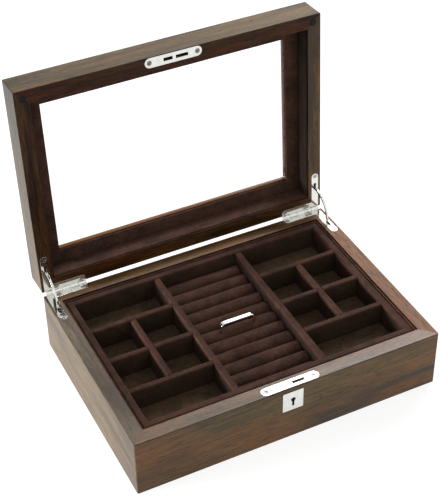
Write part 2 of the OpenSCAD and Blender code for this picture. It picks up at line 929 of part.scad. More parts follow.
// The two front corners of the lid's rim
module at_bumpers() {
    for (side = [-1, 1])
        translate([side * (box_w / 2 - bumper_inset), bumper_inset - box_d / 2, 0]) children();
}

// Seats of the bumpers, cut into the rim
module bumper_seat_cut() {
    at_bumpers() translate([0, 0, -over]) cylinder(r = bumper_r, h = bumper_seat + over);
}

module lid_bumpers() {
    color("dimgray")
        swung(open_angle)
            on_lid_rim()
                at_bumpers()
                    translate([0, 0, bumper_seat - bumper_h]) cylinder(r = bumper_r, h = bumper_h);
}

module left_lid_leaf() {
    color(chrome) swung(open_angle) turned_over() on_side(-1) leaf(1);
}

module right_lid_leaf() {
    color(chrome) swung(open_angle) turned_over() on_side(1) leaf(1);
}

module lid_hinge_screws() {
    color(chrome)
        swung(open_angle)
            turned_over()
                for (side = [-1, 1]) on_side(side) at_leaf_screws() wood_screw();
}

// The stays turn half as far as the lid
module left_stay() {
    color(chrome) swung(open_angle / 2) on_side(-1) stay();
}

module right_stay() {
    color(chrome) swung(open_angle / 2) on_side(1) stay();
}

// Front wall of the tray, padded at its top and mitred at its ends
module tray_front_wall() {
    color(suede)
        translate([0, 0, tray_z])
            intersection() {
                translate([0, (tray_wall_t - tray_d) / 2, 0])
                    padded_board(tray_w, tray_wall_t, tray_h, edge_round);
                front_board(tray_w, tray_d, tray_wall_t, tray_h);
            }
}

module tray_back_wall() {
    mirror([0, 1, 0]) tray_front_wall();
}

module tray_left_wall() {
    color(suede)
        translate([0, 0, tray_z])
            intersection() {
                translate([(tray_wall_t - tray_w) / 2, 0, 0])
                    rotate([0, 0, 90]) padded_board(tray_d, tray_wall_t, tray_h, edge_round);
                left_board(tray_w, tray_d, tray_wall_t, tray_h);
            }
}

module tray_right_wall() {
    mirror([1, 0, 0]) tray_left_wall();
}

module tray_floor() {
    color(suede)
        difference() {
            translate([0, 0, tray_z]) centred_box(tray_in_w, tray_in_d, tray_floor_t);
            at_feet() translate([0, 0, tray_z]) mirror([0, 0, 1]) screw_hole();
        }
}

// The two feet of the handle
module at_feet() {
    for (side = [-1, 1])
        translate([side * (handle_l - handle_t) / 2, 0, 0]) children();
}

module long_divider(side) {
    color(suede)
        translate([side * long_divider_x, 0, tray_floor_z])
            rotate([0, 0, 90]) padded_board(tray_in_d, long_divider_t, divider_h, edge_round);
}

module left_long_divider() {
    long_divider(-1);
}

module right_long_divider() {
    long_divider(1);
}

// The front and the back cross divider of one side column
module plain_dividers(side) {
    color(suede)
        for (row = [-1, 1])
            translate([side * side_column_x, row * row_step, tray_floor_z])
                padded_board(side_column_w, cross_divider_t, divider_h, edge_round);
}

// The middle cross divider, notched from above for the short divider
module lapped_divider(side) {
    notch_w = cross_divider_t + 2 * lap_clear;
    color(suede)
        translate([side * side_column_x, 0, tray_floor_z])
            difference() {
                padded_board(side_column_w, cross_divider_t, divider_h, edge_round);
                translate([0, 0, (divider_h - lap_clear) / 2])
                    centred_box(notch_w, notch_w, divider_h);
            }
}

// The short divider, notched from below over the middle cross divider
module short_divider(side) {
    notch_w = cross_divider_t + 2 * lap_clear;
    color(suede)
        translate([side * side_column_x, 0, tray_floor_z])
            difference() {
                rotate([0, 0, 90])
                    padded_board(short_divider_l, cross_divider_t, divider_h, edge_round);
                translate([0, 0, -over]) centred_box(notch_w, notch_w, divider_h / 2 + over);
            }
}

module left_plain_dividers() {
    plain_dividers(-1);
}

module left_lapped_divider() {
    lapped_divider(-1);
}

module left_short_divider() {
    short_divider(-1);
}

module right_plain_dividers() {
    plain_dividers(1);
}

module right_lapped_divider() {
    lapped_divider(1);
}

module right_short_divider() {
    short_divider(1);
}

// One ring roll: upright sides and a half-round crown
module ring_roll() {
    length = middle_column_w - 2 * roll_end_gap;
    intersection() {
        union() {
            centred_box(length, roll_w, roll_h - roll_w / 2);
            translate([-length / 2, 0, roll_h - roll_w / 2])
                rotate([0, 90, 0]) cylinder(d = roll_w, h = length);
        }
        centred_box(length, roll_w, roll_h);
    }
}

module ring_rolls(side) {
    color(suede)
        for (k = [1 : rolls_each_side])
            translate([0, side * k * roll_step, tray_floor_z]) ring_roll();
}

module back_ring_rolls() {
    ring_rolls(1);
}

module front_ring_rolls() {
    ring_rolls(-1);
}

module middle_ring_roll() {
    color(suede)
        difference() {
            translate([0, 0, tray_floor_z]) ring_roll();
            at_feet() {
                translate([0, 0, tray_floor_z - over])
                    cylinder(r = foot_r + foot_clear, h = foot_h + foot_clear + over);
                translate([0, 0, tray_floor_z])
                    centred_box(handle_t + 2 * foot_clear, handle_w + 2 * foot_clear, roll_h + over);
            }
        }
}

// Flat strap bent into an arch, on two round feet that stand on the tray's floor
module tray_handle() {
    top_z = roll_top_z + handle_rise;
    bend_x = handle_l / 2 - handle_bend;
    color(chrome)
        difference() {
            union() {
                translate([0, 0, top_z - handle_t]) centred_box(2 * bend_x, handle_w, handle_t);
                for (side = [-1, 1])
                    on_side(side)
                        translate([bend_x, handle_w / 2, top_z - handle_bend])
                            rotate([90, 0, 0])
                                rotate_extrude(angle = 90)
                                    translate([handle_bend - handle_t, 0])
                                        square([handle_t, handle_w]);
                at_feet() {
                    translate([0, 0, tray_floor_z])
                        centred_box(handle_t, handle_w, top_z - handle_bend - tray_floor_z);
                    translate([0, 0, tray_floor_z]) cylinder(r = foot_r, h = foot_h);
                }
            }
            at_feet()
                translate([0, 0, tray_floor_z - over])
                    cylinder(r = screw_r + screw_clear, h = foot_h);
        }
}

module handle_screws() {
    length = tray_floor_t + foot_h - 2 * over;
    color(chrome)
        at_feet()
            translate([0, 0, tray_z]) {
                cylinder(r1 = screw_head_r, r2 = screw_r, h = screw_head_h);
                translate([0, 0, screw_head_h]) cylinder(r = screw_r, h = length - screw_head_h);
            }
}

base_front_wall();
base_back_wall();
base_left_wall();
base_right_wall();
bottom_board();
felt_pad();
floor_lining();
front_ledge();
back_ledge();
left_ledge();
right_ledge();
well_linings();
lock_faceplate();
lock_case();
lock_screws();
escutcheon();
key_hub();
lock_hook();
left_base_leaf();
right_base_leaf();
base_hinge_screws();
hinge_pins();
lid_front_rail();
lid_back_rail();
lid_left_rail();
lid_right_rail();
front_top_board();
back_top_board();
left_top_board();
right_top_board();
window_glass();
window_border();
rail_linings();
strike_plate();
strike_screws();
lid_bumpers();
left_lid_leaf();
right_lid_leaf();
lid_hinge_screws();
left_stay();
right_stay();
tray_front_wall();
tray_back_wall();
tray_left_wall();
tray_right_wall();
tray_floor();
left_long_divider();
right_long_divider();
left_plain_dividers();
left_lapped_divider();
left_short_divider();
right_plain_dividers();
right_lapped_divider();
right_short_divider();
back_ring_rolls();
middle_ring_roll();
front_ring_rolls();
tray_handle();
handle_screws();
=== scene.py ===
"""Looks of a cufflink display box: a walnut case with a window lid and a lift-out suede tray.

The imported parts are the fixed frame. The wooden boards are dressed copies of their nodes with
eased edges and their own grain, the suede, felt and rolls are surfaces worked out here, and the
fittings are fine-edged copies. All sizes are in millimetres until a mesh is written in metres.
"""

import logging
import math
from dataclasses import dataclass, replace
from enum import Enum
from typing import ClassVar

import bmesh
import bpy
import numpy as np
from mathutils import Matrix, Vector


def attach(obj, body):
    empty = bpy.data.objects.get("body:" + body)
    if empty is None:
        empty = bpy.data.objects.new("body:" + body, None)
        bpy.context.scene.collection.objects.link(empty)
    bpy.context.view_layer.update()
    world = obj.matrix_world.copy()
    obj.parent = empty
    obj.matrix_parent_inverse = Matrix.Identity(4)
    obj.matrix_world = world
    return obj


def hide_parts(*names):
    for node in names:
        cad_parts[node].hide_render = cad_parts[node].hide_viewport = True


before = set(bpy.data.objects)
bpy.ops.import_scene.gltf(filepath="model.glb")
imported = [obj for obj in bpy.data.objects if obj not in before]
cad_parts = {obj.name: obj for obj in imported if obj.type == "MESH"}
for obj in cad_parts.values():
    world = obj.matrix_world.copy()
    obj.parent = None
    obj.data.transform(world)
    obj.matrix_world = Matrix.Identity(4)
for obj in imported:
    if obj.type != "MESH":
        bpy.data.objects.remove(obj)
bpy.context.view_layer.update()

LOG = logging.getLogger("cufflink_box")
MM = 0.001
WHITE = (1, 1, 1, 1)

Socket = bpy.types.NodeSocket
Pair = tuple[float, float]
Triple = tuple[float, float, float]


def srgb(red: float, green: float, blue: float) -> tuple[float, float, float, float]:
    """Turns a colour as seen on screen into the shader's linear numbers.

    Args:
        red: Red from 0 to 255.
        green: Green from 0 to 255.
        blue: Blue from 0 to 255.

    Returns:
        Linear red, green, blue and a full alpha.
    """
    seen = np.array([red, green, blue]) / 255
    red, green, blue = np.where(seen <= 0.04045, seen / 12.92, ((seen + 0.055) / 1.055) ** 2.4)
    return (float(red), float(green), float(blue), 1.0)


@dataclass(frozen=True)
class BoxSizes:
    """Main sizes of the box in millimetres, the same as in the part's source."""

    width: float = 300.0
    depth: float = 213.0
    base_h: float = 60.0
    lid_h: float = 28.5
    wall_t: float = 13.5
    lid_gap: float = 0.8
    open_angle: float = 93.5
    axis_out: float = 1.8

    @property
    def half(self) -> Pair:
        """Half width and half depth of the box."""
        return (self.width / 2, self.depth / 2)

    @property
    def well(self) -> Pair:
        """Half width and half depth of the space inside the walls."""
        return (self.width / 2 - self.wall_t, self.depth / 2 - self.wall_t)

    @property
    def rim_z(self) -> float:
        """Height of the closed lid's rim."""
        return self.base_h + self.lid_gap

    @property
    def top_z(self) -> float:
        """Height of the closed lid's top."""
        return self.rim_z + self.lid_h

    @property
    def axis(self) -> Pair:
        """Depth and height of the hinge axis."""
        return (self.depth / 2 + self.axis_out, self.base_h + self.lid_gap / 2)


SIZES = BoxSizes()


def turned_about_hinge(points: np.ndarray, degrees: float) -> np.ndarray:
    """Turns points about the hinge axis: y and z turn in their plane, x stays.

    Args:
        points: Points in millimetres, the last axis being x, y, z.
        degrees: Opening angle, positive opens the lid and negative closes it.

    Returns:
        The turned points.
    """
    axis_y, axis_z = SIZES.axis
    turn = math.radians(degrees)
    y = points[..., 1] - axis_y
    z = points[..., 2] - axis_z
    out = np.array(points, float)
    out[..., 1] = axis_y + y * math.cos(turn) + z * math.sin(turn)
    out[..., 2] = axis_z - y * math.sin(turn) + z * math.cos(turn)
    return out


# Finishes


@dataclass(frozen=True)
class Cloud:
    """A cloud of noise: its spots per metre, alike all ways or each along x, y and z.

    detail counts its finer layers, rough is their strength, and swirl bends it.
    """

    often: float | Triple
    detail: float = 2.0
    rough: float = 0.5
    swirl: float = 0.0
    shift: Triple = (0, 0, 0)
    turn: Triple = (0, 0, 0)


class Graph:
    """Builds the nodes of one material, or of the world, and joins them up."""

    def __init__(self, owner: bpy.types.Material | bpy.types.World) -> None:
        """Starts an empty node tree.

        Args:
            owner: The material or the world that the nodes belong to.
        """
        owner.use_nodes = True
        self.owner = owner
        self.tree = owner.node_tree
        self.tree.nodes.clear()

    def add(
        self, kind: str, inputs: dict[str | int, object] | None = None, **settings: object
    ) -> bpy.types.Node:
        """Adds a node, sets its properties, and joins or sets its inputs.

        Args:
            kind: The node's type.
            inputs: For each input's name or number a socket, or a plain number or colour.
            **settings: The node's properties.

        Returns:
            The node.
        """
        node = self.tree.nodes.new(kind)
        for key, value in settings.items():
            setattr(node, key, value)
        for key, source in (inputs or {}).items():
            if isinstance(source, Socket):
                self.tree.links.new(source, node.inputs[key])
            else:
                node.inputs[key].default_value = source
        return node

    def object_place(self) -> Socket:
        """Place on the piece, in metres."""
        return self.add("ShaderNodeTexCoord").outputs["Object"]

    def kept(self, name: str, output: str = "Fac") -> Socket:
        """A number, or with Vector a place, that the mesh keeps as an attribute."""
        node = self.add("ShaderNodeAttribute", attribute_name=name, attribute_type="GEOMETRY")
        return node.outputs[output]

    def cloud(self, place: Socket, cloud: Cloud) -> Socket:
        """Values of a cloud, about one half.

        Args:
            place: The place that the cloud is laid over.
            cloud: The cloud, stretched where its spots differ along x, y and z.

        Returns:
            The values.
        """
        often = cloud.often
        if isinstance(often, tuple):
            spread = {"Scale": often, "Location": cloud.shift, "Rotation": cloud.turn}
            place = self.add("ShaderNodeMapping", {"Vector": place, **spread}).outputs["Vector"]
            often = 1.0
        grain = {"Detail": cloud.detail, "Roughness": cloud.rough, "Distortion": cloud.swirl}
        inputs = {"Vector": place, "Scale": often, **grain}
        return self.add("ShaderNodeTexNoise", inputs).outputs["Fac"]

    def ranged(self, value: Socket, span: Pair, to: Pair = (0, 1)) -> Socket:
        """Carries the span on to another, and holds the value at its ends."""
        ends = {"From Min": span[0], "From Max": span[1], "To Min": to[0], "To Max": to[1]}
        return self.add("ShaderNodeMapRange", {"Value": value, **ends}, clamp=True).outputs[0]

    def maths(self, operation: str, first: object, second: object) -> Socket:
        """One sum of two values, each a socket or a number."""
        return self.add("ShaderNodeMath", {0: first, 1: second}, operation=operation).outputs[0]

    def shared(self, first: Socket, share: float, second: Socket, rest: float) -> Socket:
        """Two values added, each times its own share."""
        parts = [self.maths("MULTIPLY", *part) for part in ((first, share), (second, rest))]
        return self.maths("ADD", *parts)

    def mixed(self, share: Socket, first: object, second: object, way: str = "MIX") -> Socket:
        """Mixes two colours, each a socket or a colour."""
        inputs = {0: share, 6: first, 7: second}
        return self.add("ShaderNodeMix", inputs, data_type="RGBA", blend_type=way).outputs[2]

    def raised(self, height: Socket, strength: float, distance: float) -> Socket:
        """Normal of a surface that rises and falls with height."""
        inputs = {"Strength": strength, "Distance": distance, "Height": height}
        return self.add("ShaderNodeBump", inputs).outputs["Normal"]

    def surface(self, **inputs: object) -> Socket:
        """A Principled shader; an underscore in a key stands for a space."""
        named = {key.replace("_", " "): value for key, value in inputs.items()}
        return self.add("ShaderNodeBsdfPrincipled", named).outputs[0]

    def blended(self, share: Socket, first: Socket, second: Socket) -> Socket:
        """Mixes two shaders."""
        return self.add("ShaderNodeMixShader", {0: share, 1: first, 2: second}).outputs[0]

    def background_ray(self) -> Socket:
        """One where the eye, a reflection or a look through glass meets the background.

        Returns:
            The value.
        """
        rays = self.add("ShaderNodeLightPath").outputs
        seen = self.maths("MAXIMUM", rays["Is Camera Ray"], rays["Is Glossy Ray"])
        return self.maths("MAXIMUM", seen, rays["Is Transmission Ray"])

    def done(self, shader: Socket) -> bpy.types.Material | bpy.types.World:
        """Joins the shader to the output, and gives back the material or the world."""
        self.add(f"ShaderNodeOutput{type(self.owner).__name__}", {"Surface": shader})
        return self.owner


@dataclass(frozen=True)
class Finish:
    """A finish that is made once and then shared by its pieces; slot is not used."""

    name: str
    slot: ClassVar[str] = ""

    def build(self, g: Graph) -> Socket:
        """Makes the shader. Each finish has its own."""
        raise NotImplementedError

    def material(self) -> bpy.types.Material:
        """The material, made at its first use.

        Returns:
            The material.
        """
        made = bpy.data.materials.get(self.name)
        if made is None:
            g = Graph(bpy.data.materials.new(self.name))
            made = g.done(self.build(g))
        return made


@dataclass(frozen=True)
class Walnut(Finish):
    """Satin walnut: umber and olive bands with rust streaks, long fibres and short pores.

    Bands, fibres and pores are noise over the board's own grain place, stretched far along the
    grain and squeezed across it.
    """

    slot: ClassVar[str] = "walnut"
    umber: Triple = (60, 42, 18)
    olive: Triple = (111, 89, 42)
    rust: Triple = (138, 87, 37)
    pore: Triple = (32, 21, 12)
    # dye multiplies the faces marked painted_shade: painted shade
    dye: Triple = (160, 124, 92)
    raw: Triple = (150, 90, 38)
    gloss: float = 0.33
    wide: Cloud = Cloud((7, 42, 42), 2.5, 0.5, 0.9)
    narrow: Cloud = Cloud((9, 190, 190), 3, 0.55, 0.6, (3, 1, 7))
    fibres: Cloud = Cloud((30, 850, 850), 3, 0.6)
    pores: Cloud = Cloud((120, 1400, 1400), 1, 0.5, shift=(9, 4, 2))
    streaks: Cloud = Cloud((5, 36, 36), 3, 0.5, 0.9, (5, 8, 3))
    wide_share: float = 0.6
    warmth: float = 0.16
    most_rust: float = 0.72
    most_fibre: float = 0.6
    most_pore: float = 0.85
    least_bare: float = 0.3
    most_bare: float = 0.85

    def build(self, g: Graph) -> Socket:
        """Makes the walnut: bands, then streaks, fibres, pores, painted shade and the bare edge.

        Args:
            g: The material's nodes.

        Returns:
            The shader.
        """
        grain = g.kept("grain", "Vector")
        narrow, fibre = g.cloud(grain, self.narrow), g.cloud(grain, self.fibres)
        umber = srgb(*self.umber)
        band = g.shared(g.cloud(grain, self.wide), self.wide_share, narrow, 1 - self.wide_share)
        warm = g.maths("MULTIPLY", g.kept("warm"), self.warmth)
        streak = g.maths("ADD", g.cloud(grain, self.streaks), warm)
        pits = g.ranged(g.cloud(grain, self.pores), (0.57, 0.67), (0, self.most_pore))
        worn = g.ranged(narrow, (0.35, 0.65), (self.least_bare, self.most_bare))
        bare = g.maths("MULTIPLY", g.kept("bare"), worn)
        colour = g.mixed(g.ranged(band, (0.43, 0.56)), umber, srgb(*self.olive))
        rust = g.ranged(streak, (0.48, 0.67), (0, self.most_rust))
        colour = g.mixed(rust, colour, srgb(*self.rust))
        colour = g.mixed(g.ranged(fibre, (0.36, 0.6), (self.most_fibre, 0)), colour, umber)
        colour = g.mixed(pits, colour, srgb(*self.pore))
        # painted shade: the marked faces are multiplied by dye
        colour = g.mixed(g.kept("painted_shade"), colour, srgb(*self.dye), "MULTIPLY")
        height = g.maths("SUBTRACT", g.maths("MULTIPLY", fibre, 0.5), pits)
        return g.surface(
            Base_Color=g.mixed(bare, colour, srgb(*self.raw)),
            Roughness=g.ranged(narrow, (0.3, 0.7), (0.36, 0.46)),
            Specular_IOR_Level=self.gloss,
            Normal=g.raised(height, strength=0.22, distance=0.00012),
        )


@dataclass(frozen=True)
class RawBoard(Finish):
    """Plain stained board of the underside: even brown with long faint fibres."""

    light: Triple = (92, 68, 50)
    dark: Triple = (70, 50, 37)
    bands: Cloud = Cloud((4, 90, 90), 3, 0.55, 0.6)
    fibres: Cloud = Cloud((30, 1300, 1300))

    def build(self, g: Graph) -> Socket:
        """Makes the board's finish, its grain running left to right.

        Args:
            g: The material's nodes.

        Returns:
            The shader.
        """
        place = g.object_place()
        band, fibre = g.cloud(place, self.bands), g.cloud(place, self.fibres)
        dark = srgb(*self.dark)
        colour = g.mixed(g.ranged(band, (0.35, 0.65)), dark, srgb(*self.light))
        colour = g.mixed(g.ranged(fibre, (0.35, 0.7), (0.25, 0)), colour, dark)
        return g.surface(
            Base_Color=colour,
            Roughness=0.62,
            Normal=g.raised(fibre, strength=0.3, distance=0.00015),
        )


@dataclass(frozen=True)
class Suede(Finish):
    """Short-napped suede cloth: brushed patches, a soft mottle and fine fibres, with a sheen.

    Where pressed is set, and below the heights in worn, in metres, the shade colour
    darkens it as painted shade.
    """

    slot: ClassVar[str] = "suede"
    deep: Triple = (54, 36, 29)
    brushed: Triple = (96, 66, 53)
    sheen: Triple = (140, 94, 76)
    shade: Triple = (110, 118, 98)
    worn: Pair = (0.0, 0.0)
    patches: Cloud = Cloud((38, 52, 45), 2, 0.5, 0.9)
    mottles: Cloud = Cloud(320, 3, 0.6, 0.3)
    naps: Cloud = Cloud(2600, 2, 0.6)

    def build(self, g: Graph) -> Socket:
        """Makes the suede.

        Args:
            g: The material's nodes.

        Returns:
            The shader.
        """
        place = g.object_place()
        mottle, nap = g.cloud(place, self.mottles), g.cloud(place, self.naps)
        lie = g.shared(g.cloud(place, self.patches), 0.55, mottle, 0.45)
        deep = srgb(*self.deep)
        colour = g.mixed(g.ranged(lie, (0.36, 0.64)), deep, srgb(*self.brushed))
        colour = g.mixed(g.ranged(nap, (0.35, 0.7), (0.3, 0)), colour, deep)
        pressed = g.kept("pressed")
        # painted shade: below the heights in worn the colour darkens, standing in for the shade
        # in the tray's compartments
        if self.worn[1] > self.worn[0]:
            height = g.add("ShaderNodeSeparateXYZ", {0: place}).outputs["Z"]
            pressed = g.maths("MAXIMUM", pressed, g.ranged(height, self.worn, (1, 0)))
        return g.surface(
            Base_Color=g.mixed(pressed, colour, srgb(*self.shade), "MULTIPLY"),
            Roughness=0.88,
            Specular_IOR_Level=0.2,
            Sheen_Weight=0.12,
            Sheen_Roughness=0.45,
            Sheen_Tint=srgb(*self.sheen),
            Normal=g.raised(g.shared(mottle, 0.7, nap, 0.5), strength=0.35, distance=0.00035),
        )


@dataclass(frozen=True)
class Felt(Finish):
    """Black pressed felt of the underside: matted curly fibres."""

    slot: ClassVar[str] = "felt"
    dark: Triple = (28, 27, 28)
    light: Triple = (52, 50, 51)
    sheen: Triple = (120, 118, 120)
    curls: Cloud = Cloud(900, 3, 0.65, 2.5)
    mats: Cloud = Cloud(160, 2, 0.5, 0.6)

    def build(self, g: Graph) -> Socket:
        """Makes the felt.

        Args:
            g: The material's nodes.

        Returns:
            The shader.
        """
        place = g.object_place()
        both = g.shared(g.cloud(place, self.curls), 0.65, g.cloud(place, self.mats), 0.35)
        return g.surface(
            Base_Color=g.mixed(g.ranged(both, (0.35, 0.66)), srgb(*self.dark), srgb(*self.light)),
            Roughness=0.95,
            Specular_IOR_Level=0.15,
            Sheen_Weight=0.15,
            Sheen_Roughness=0.5,
            Sheen_Tint=srgb(*self.sheen),
            Normal=g.raised(both, strength=0.5, distance=0.0004),
        )


class Polish(Enum):
    """How a metal is worked, as the spots per metre of its fine lines along x, y and z."""

    BRUSHED = (60, 2600, 2600)
    TUMBLED = (900, 900, 900)


@dataclass(frozen=True)
class Metal(Finish):
    """Plated or plain metal: fine lines or a tumbled grain that change its gloss."""

    slot: ClassVar[str] = "chrome"
    colour: Triple = (228, 228, 223)
    shade: Triple = (219, 219, 214)
    polish: Polish = Polish.BRUSHED
    gloss: Pair = (0.07, 0.17)
    wear: Cloud = Cloud(180, 3, 0.6, 0.8)

    def build(self, g: Graph) -> Socket:
        """Makes the metal.

        Args:
            g: The material's nodes.

        Returns:
            The shader.
        """
        place = g.object_place()
        lines = g.cloud(place, Cloud(self.polish.value, 2, 0.55))
        wear = g.cloud(place, self.wear)
        return g.surface(
            Base_Color=g.mixed(
                g.ranged(wear, (0.42, 0.7)), srgb(*self.colour), srgb(*self.shade)
            ),
            Metallic=1.0,
            Roughness=g.ranged(g.shared(lines, 0.5, wear, 0.5), (0.35, 0.65), self.gloss),
            Normal=g.raised(lines, strength=0.05, distance=0.00005),
        )


@dataclass(frozen=True)
class Rubber(Finish):
    """Soft dark rubber of the bumpers, with a dull skin."""

    slot: ClassVar[str] = "rubber"
    dark: Triple = (18, 17, 17)
    light: Triple = (28, 27, 26)
    skins: Cloud = Cloud(1500, 2, 0.6)

    def build(self, g: Graph) -> Socket:
        """Makes the rubber.

        Args:
            g: The material's nodes.

        Returns:
            The shader.
        """
        skin = g.cloud(g.object_place(), self.skins)
        return g.surface(
            Base_Color=g.mixed(g.ranged(skin, (0.35, 0.65)), srgb(*self.dark), srgb(*self.light)),
            Roughness=0.6,
            Specular_IOR_Level=0.2,
            Normal=g.raised(skin, strength=0.1, distance=0.00008),
        )


@dataclass(frozen=True)
class PaneGlass(Finish):
    """Clear window glass with a faint wiped film; lamps shine through it."""

    film: Pair = (0.0, 0.012)
    tint: tuple[float, ...] = (0.96, 0.975, 0.97, 1)
    wipes: Cloud = Cloud((12, 40, 12), 3, 0.55, 1.5, turn=(0, 0.5, 0.3))

    def build(self, g: Graph) -> Socket:
        """Makes the glass: a clear pane to lamps and soft light, and glass to the eye.

        Args:
            g: The material's nodes.

        Returns:
            The shader.
        """
        wipe = g.cloud(g.object_place(), self.wipes)
        pane = g.surface(
            Base_Color=WHITE,
            Roughness=g.ranged(wipe, (0.45, 0.7), self.film),
            Transmission_Weight=1.0,
            IOR=1.5,
        )
        clear = g.add("ShaderNodeBsdfTransparent", {"Color": self.tint}).outputs[0]
        rays = g.add("ShaderNodeLightPath").outputs
        soft = g.maths("MAXIMUM", rays["Is Shadow Ray"], rays["Is Diffuse Ray"])
        return g.blended(soft, pane, clear)


WALNUT = Walnut("satin_walnut")
# painted shade: a darker, less glossy copy of the walnut for the lid's rim, pocket walls, inner
# faces and the base's right rim
SHADED_WALNUT = Walnut(
    "shaded_walnut", umber=(44, 32, 19), olive=(122, 96, 64), rust=(150, 94, 52),
    dye=(168, 134, 94), gloss=0.16,
)
# painted sheen: a paler, greyer copy of the walnut, with more gloss, for the base's left wall,
# the lid's left rail and the base's front rim; its paler tone stands in for the light on them
LIT_WALNUT = Walnut(
    "lit_walnut", umber=(60, 44, 26), olive=(97, 79, 51), rust=(124, 80, 45), gloss=0.5,
)
RAW_BOARD = RawBoard("stained_board")
SUEDE = Suede("suede_cloth")
# painted shade, faint and a little green, below the tops of the tray's walls and dividers
TRAY_SUEDE = Suede(
    "tray_suede", deep=(52, 34, 27), brushed=(84, 56, 45), shade=(228, 255, 235),
    worn=(0.0525, 0.0568),
)
# painted shade: a darker copy for the walls and dividers whose sides face left and right
SIDE_SHADE_SUEDE = replace(TRAY_SUEDE, name="side_shade_suede", shade=(158, 160, 146))
FLOOR_SUEDE = Suede("floor_suede", deep=(58, 45, 33), brushed=(98, 77, 56))
FELT = Felt("matted_felt")
CHROME = Metal("brushed_chrome")
SATIN_CHROME = Metal("satin_chrome", gloss=(0.17, 0.29))
PLATE_CHROME = Metal(
    "plate_chrome", colour=(206, 206, 201), shade=(190, 190, 185), gloss=(0.26, 0.38)
)
TUMBLED_CHROME = Metal("tumbled_chrome", polish=Polish.TUMBLED, gloss=(0.06, 0.16))
PLATE_SCREW = replace(
    TUMBLED_CHROME, name="plate_screw", colour=(128, 127, 124), shade=(112, 111, 108),
    gloss=(0.22, 0.36),
)
SCREW_STEEL = replace(
    TUMBLED_CHROME, name="screw_steel", colour=(186, 185, 180), shade=(160, 159, 154),
    gloss=(0.18, 0.3),
)
STEEL = replace(
    TUMBLED_CHROME, name="lock_steel", colour=(74, 72, 69), shade=(54, 53, 50),
    gloss=(0.32, 0.48),
)
GLASS = PaneGlass("window_pane")
RUBBER = Rubber("bumper_rubber")


# Surfaces


@dataclass
class Shell:
    """A closed surface: points in millimetres and the faces between them.

    faces holds blocks of faces that have as many corners each, a row for a face.
    """

    points: np.ndarray
    faces: list[np.ndarray]

    @staticmethod
    def joined(shells: list["Shell"]) -> "Shell":
        """Puts several closed surfaces into one mesh, side by side.

        Args:
            shells: The surfaces.

        Returns:
            One surface with all their points and faces.
        """
        starts = np.cumsum([0] + [len(shell.points) for shell in shells])
        faces = [block + start for shell, start in zip(shells, starts) for block in shell.faces]
        return Shell(np.concatenate([shell.points for shell in shells]), faces)


def lofted(rings: np.ndarray) -> Shell:
    """Skins a row of closed rings, and closes both ends with a flat cap.

    Point j of ring i is joined to point j of ring i + 1, and each ring closes on itself.

    Args:
        rings: Points as (ring, place in the ring, xyz), in millimetres.

    Returns:
        The closed surface.
    """
    number = np.arange(rings.shape[0] * rings.shape[1]).reshape(rings.shape[:2])
    after = np.roll(number, -1, axis=1)
    quads = np.stack([number[:-1], number[1:], after[1:], after[:-1]], -1)
    caps = np.stack([number[0], number[-1][::-1]])
    return Shell(rings.reshape(-1, 3), [quads.reshape(-1, 4), caps])


def line(*ends: np.ndarray | float) -> np.ndarray:
    """Puts coordinates, each a row or one number for all, side by side as points."""
    return np.stack(np.broadcast_arrays(*ends), -1)


def arc(middle: Pair, radius: float, start: float, end: float, steps: int) -> np.ndarray:
    """Points on a circle arc, between angles in degrees: middle + radius (cosine, sine)."""
    angle = np.radians(np.linspace(start, end, steps))
    return line(middle[0] + radius * np.cos(angle), middle[1] + radius * np.sin(angle))


def board_profile(
    thick: float, high: float, top_r: float, low_r: float, steps: int = 8, rise: int = 7
) -> np.ndarray:
    """Outline of a wrapped board: a rectangle with its top and bottom corners rounded.

    Args:
        thick: Thickness, from 0 across.
        high: Height, from 0 up.
        top_r: Radius of the two top corners.
        low_r: Radius of the two bottom corners.
        steps: Points in each top corner.
        rise: Points up each side.

    Returns:
        A closed outline as (place, across and up).
    """
    up = np.linspace(low_r, high - top_r, rise + 2)[1:-1]
    span = np.linspace(top_r, thick - top_r, 5)[1:-1]
    parts = [
        arc((thick - low_r, low_r), low_r, -90, 0, 4),
        line(thick, up),
        arc((thick - top_r, high - top_r), top_r, 0, 90, steps),
        line(span[::-1], high),
        arc((top_r, high - top_r), top_r, 90, 180, steps),
        line(0.0, up[::-1]),
        arc((low_r, low_r), low_r, 180, 270, 4),
    ]
    return np.concatenate(parts)


def stations(count: int, soft_end: float, length: float) -> np.ndarray:
    """Even places from 0 to 1 with two close ones at each end, where a wrapped end turns in."""
    inner = np.linspace(soft_end / length, 1 - soft_end / length, count)
    return np.concatenate([[0, 0.4 * soft_end / length], inner, [1 - 0.4 * soft_end / length, 1]])


@dataclass(frozen=True)
class Ripple:
    """One sine over a strip of cloth: its strength, and its turns along the run and the height.

    phase_share is how much of the strip's own phase starts it.
    """

    strength: float
    along: float
    up: float = 0.0
    phase_share: float = 1.0

    def wave(self, run: np.ndarray, height: np.ndarray, phase: float) -> np.ndarray:
        """Strength times the sine of run, height and phase, each times its own number."""
        angle = run * self.along + self.phase_share * phase + height * self.up
        return self.strength * np.sin(angle)


CLOTH_RIPPLES = (
    Ripple(1.0, 0.071),
    Ripple(0.6, 0.19, 0.13, 2.3),
    Ripple(0.4, 0.43, -0.21, 5.1),
)


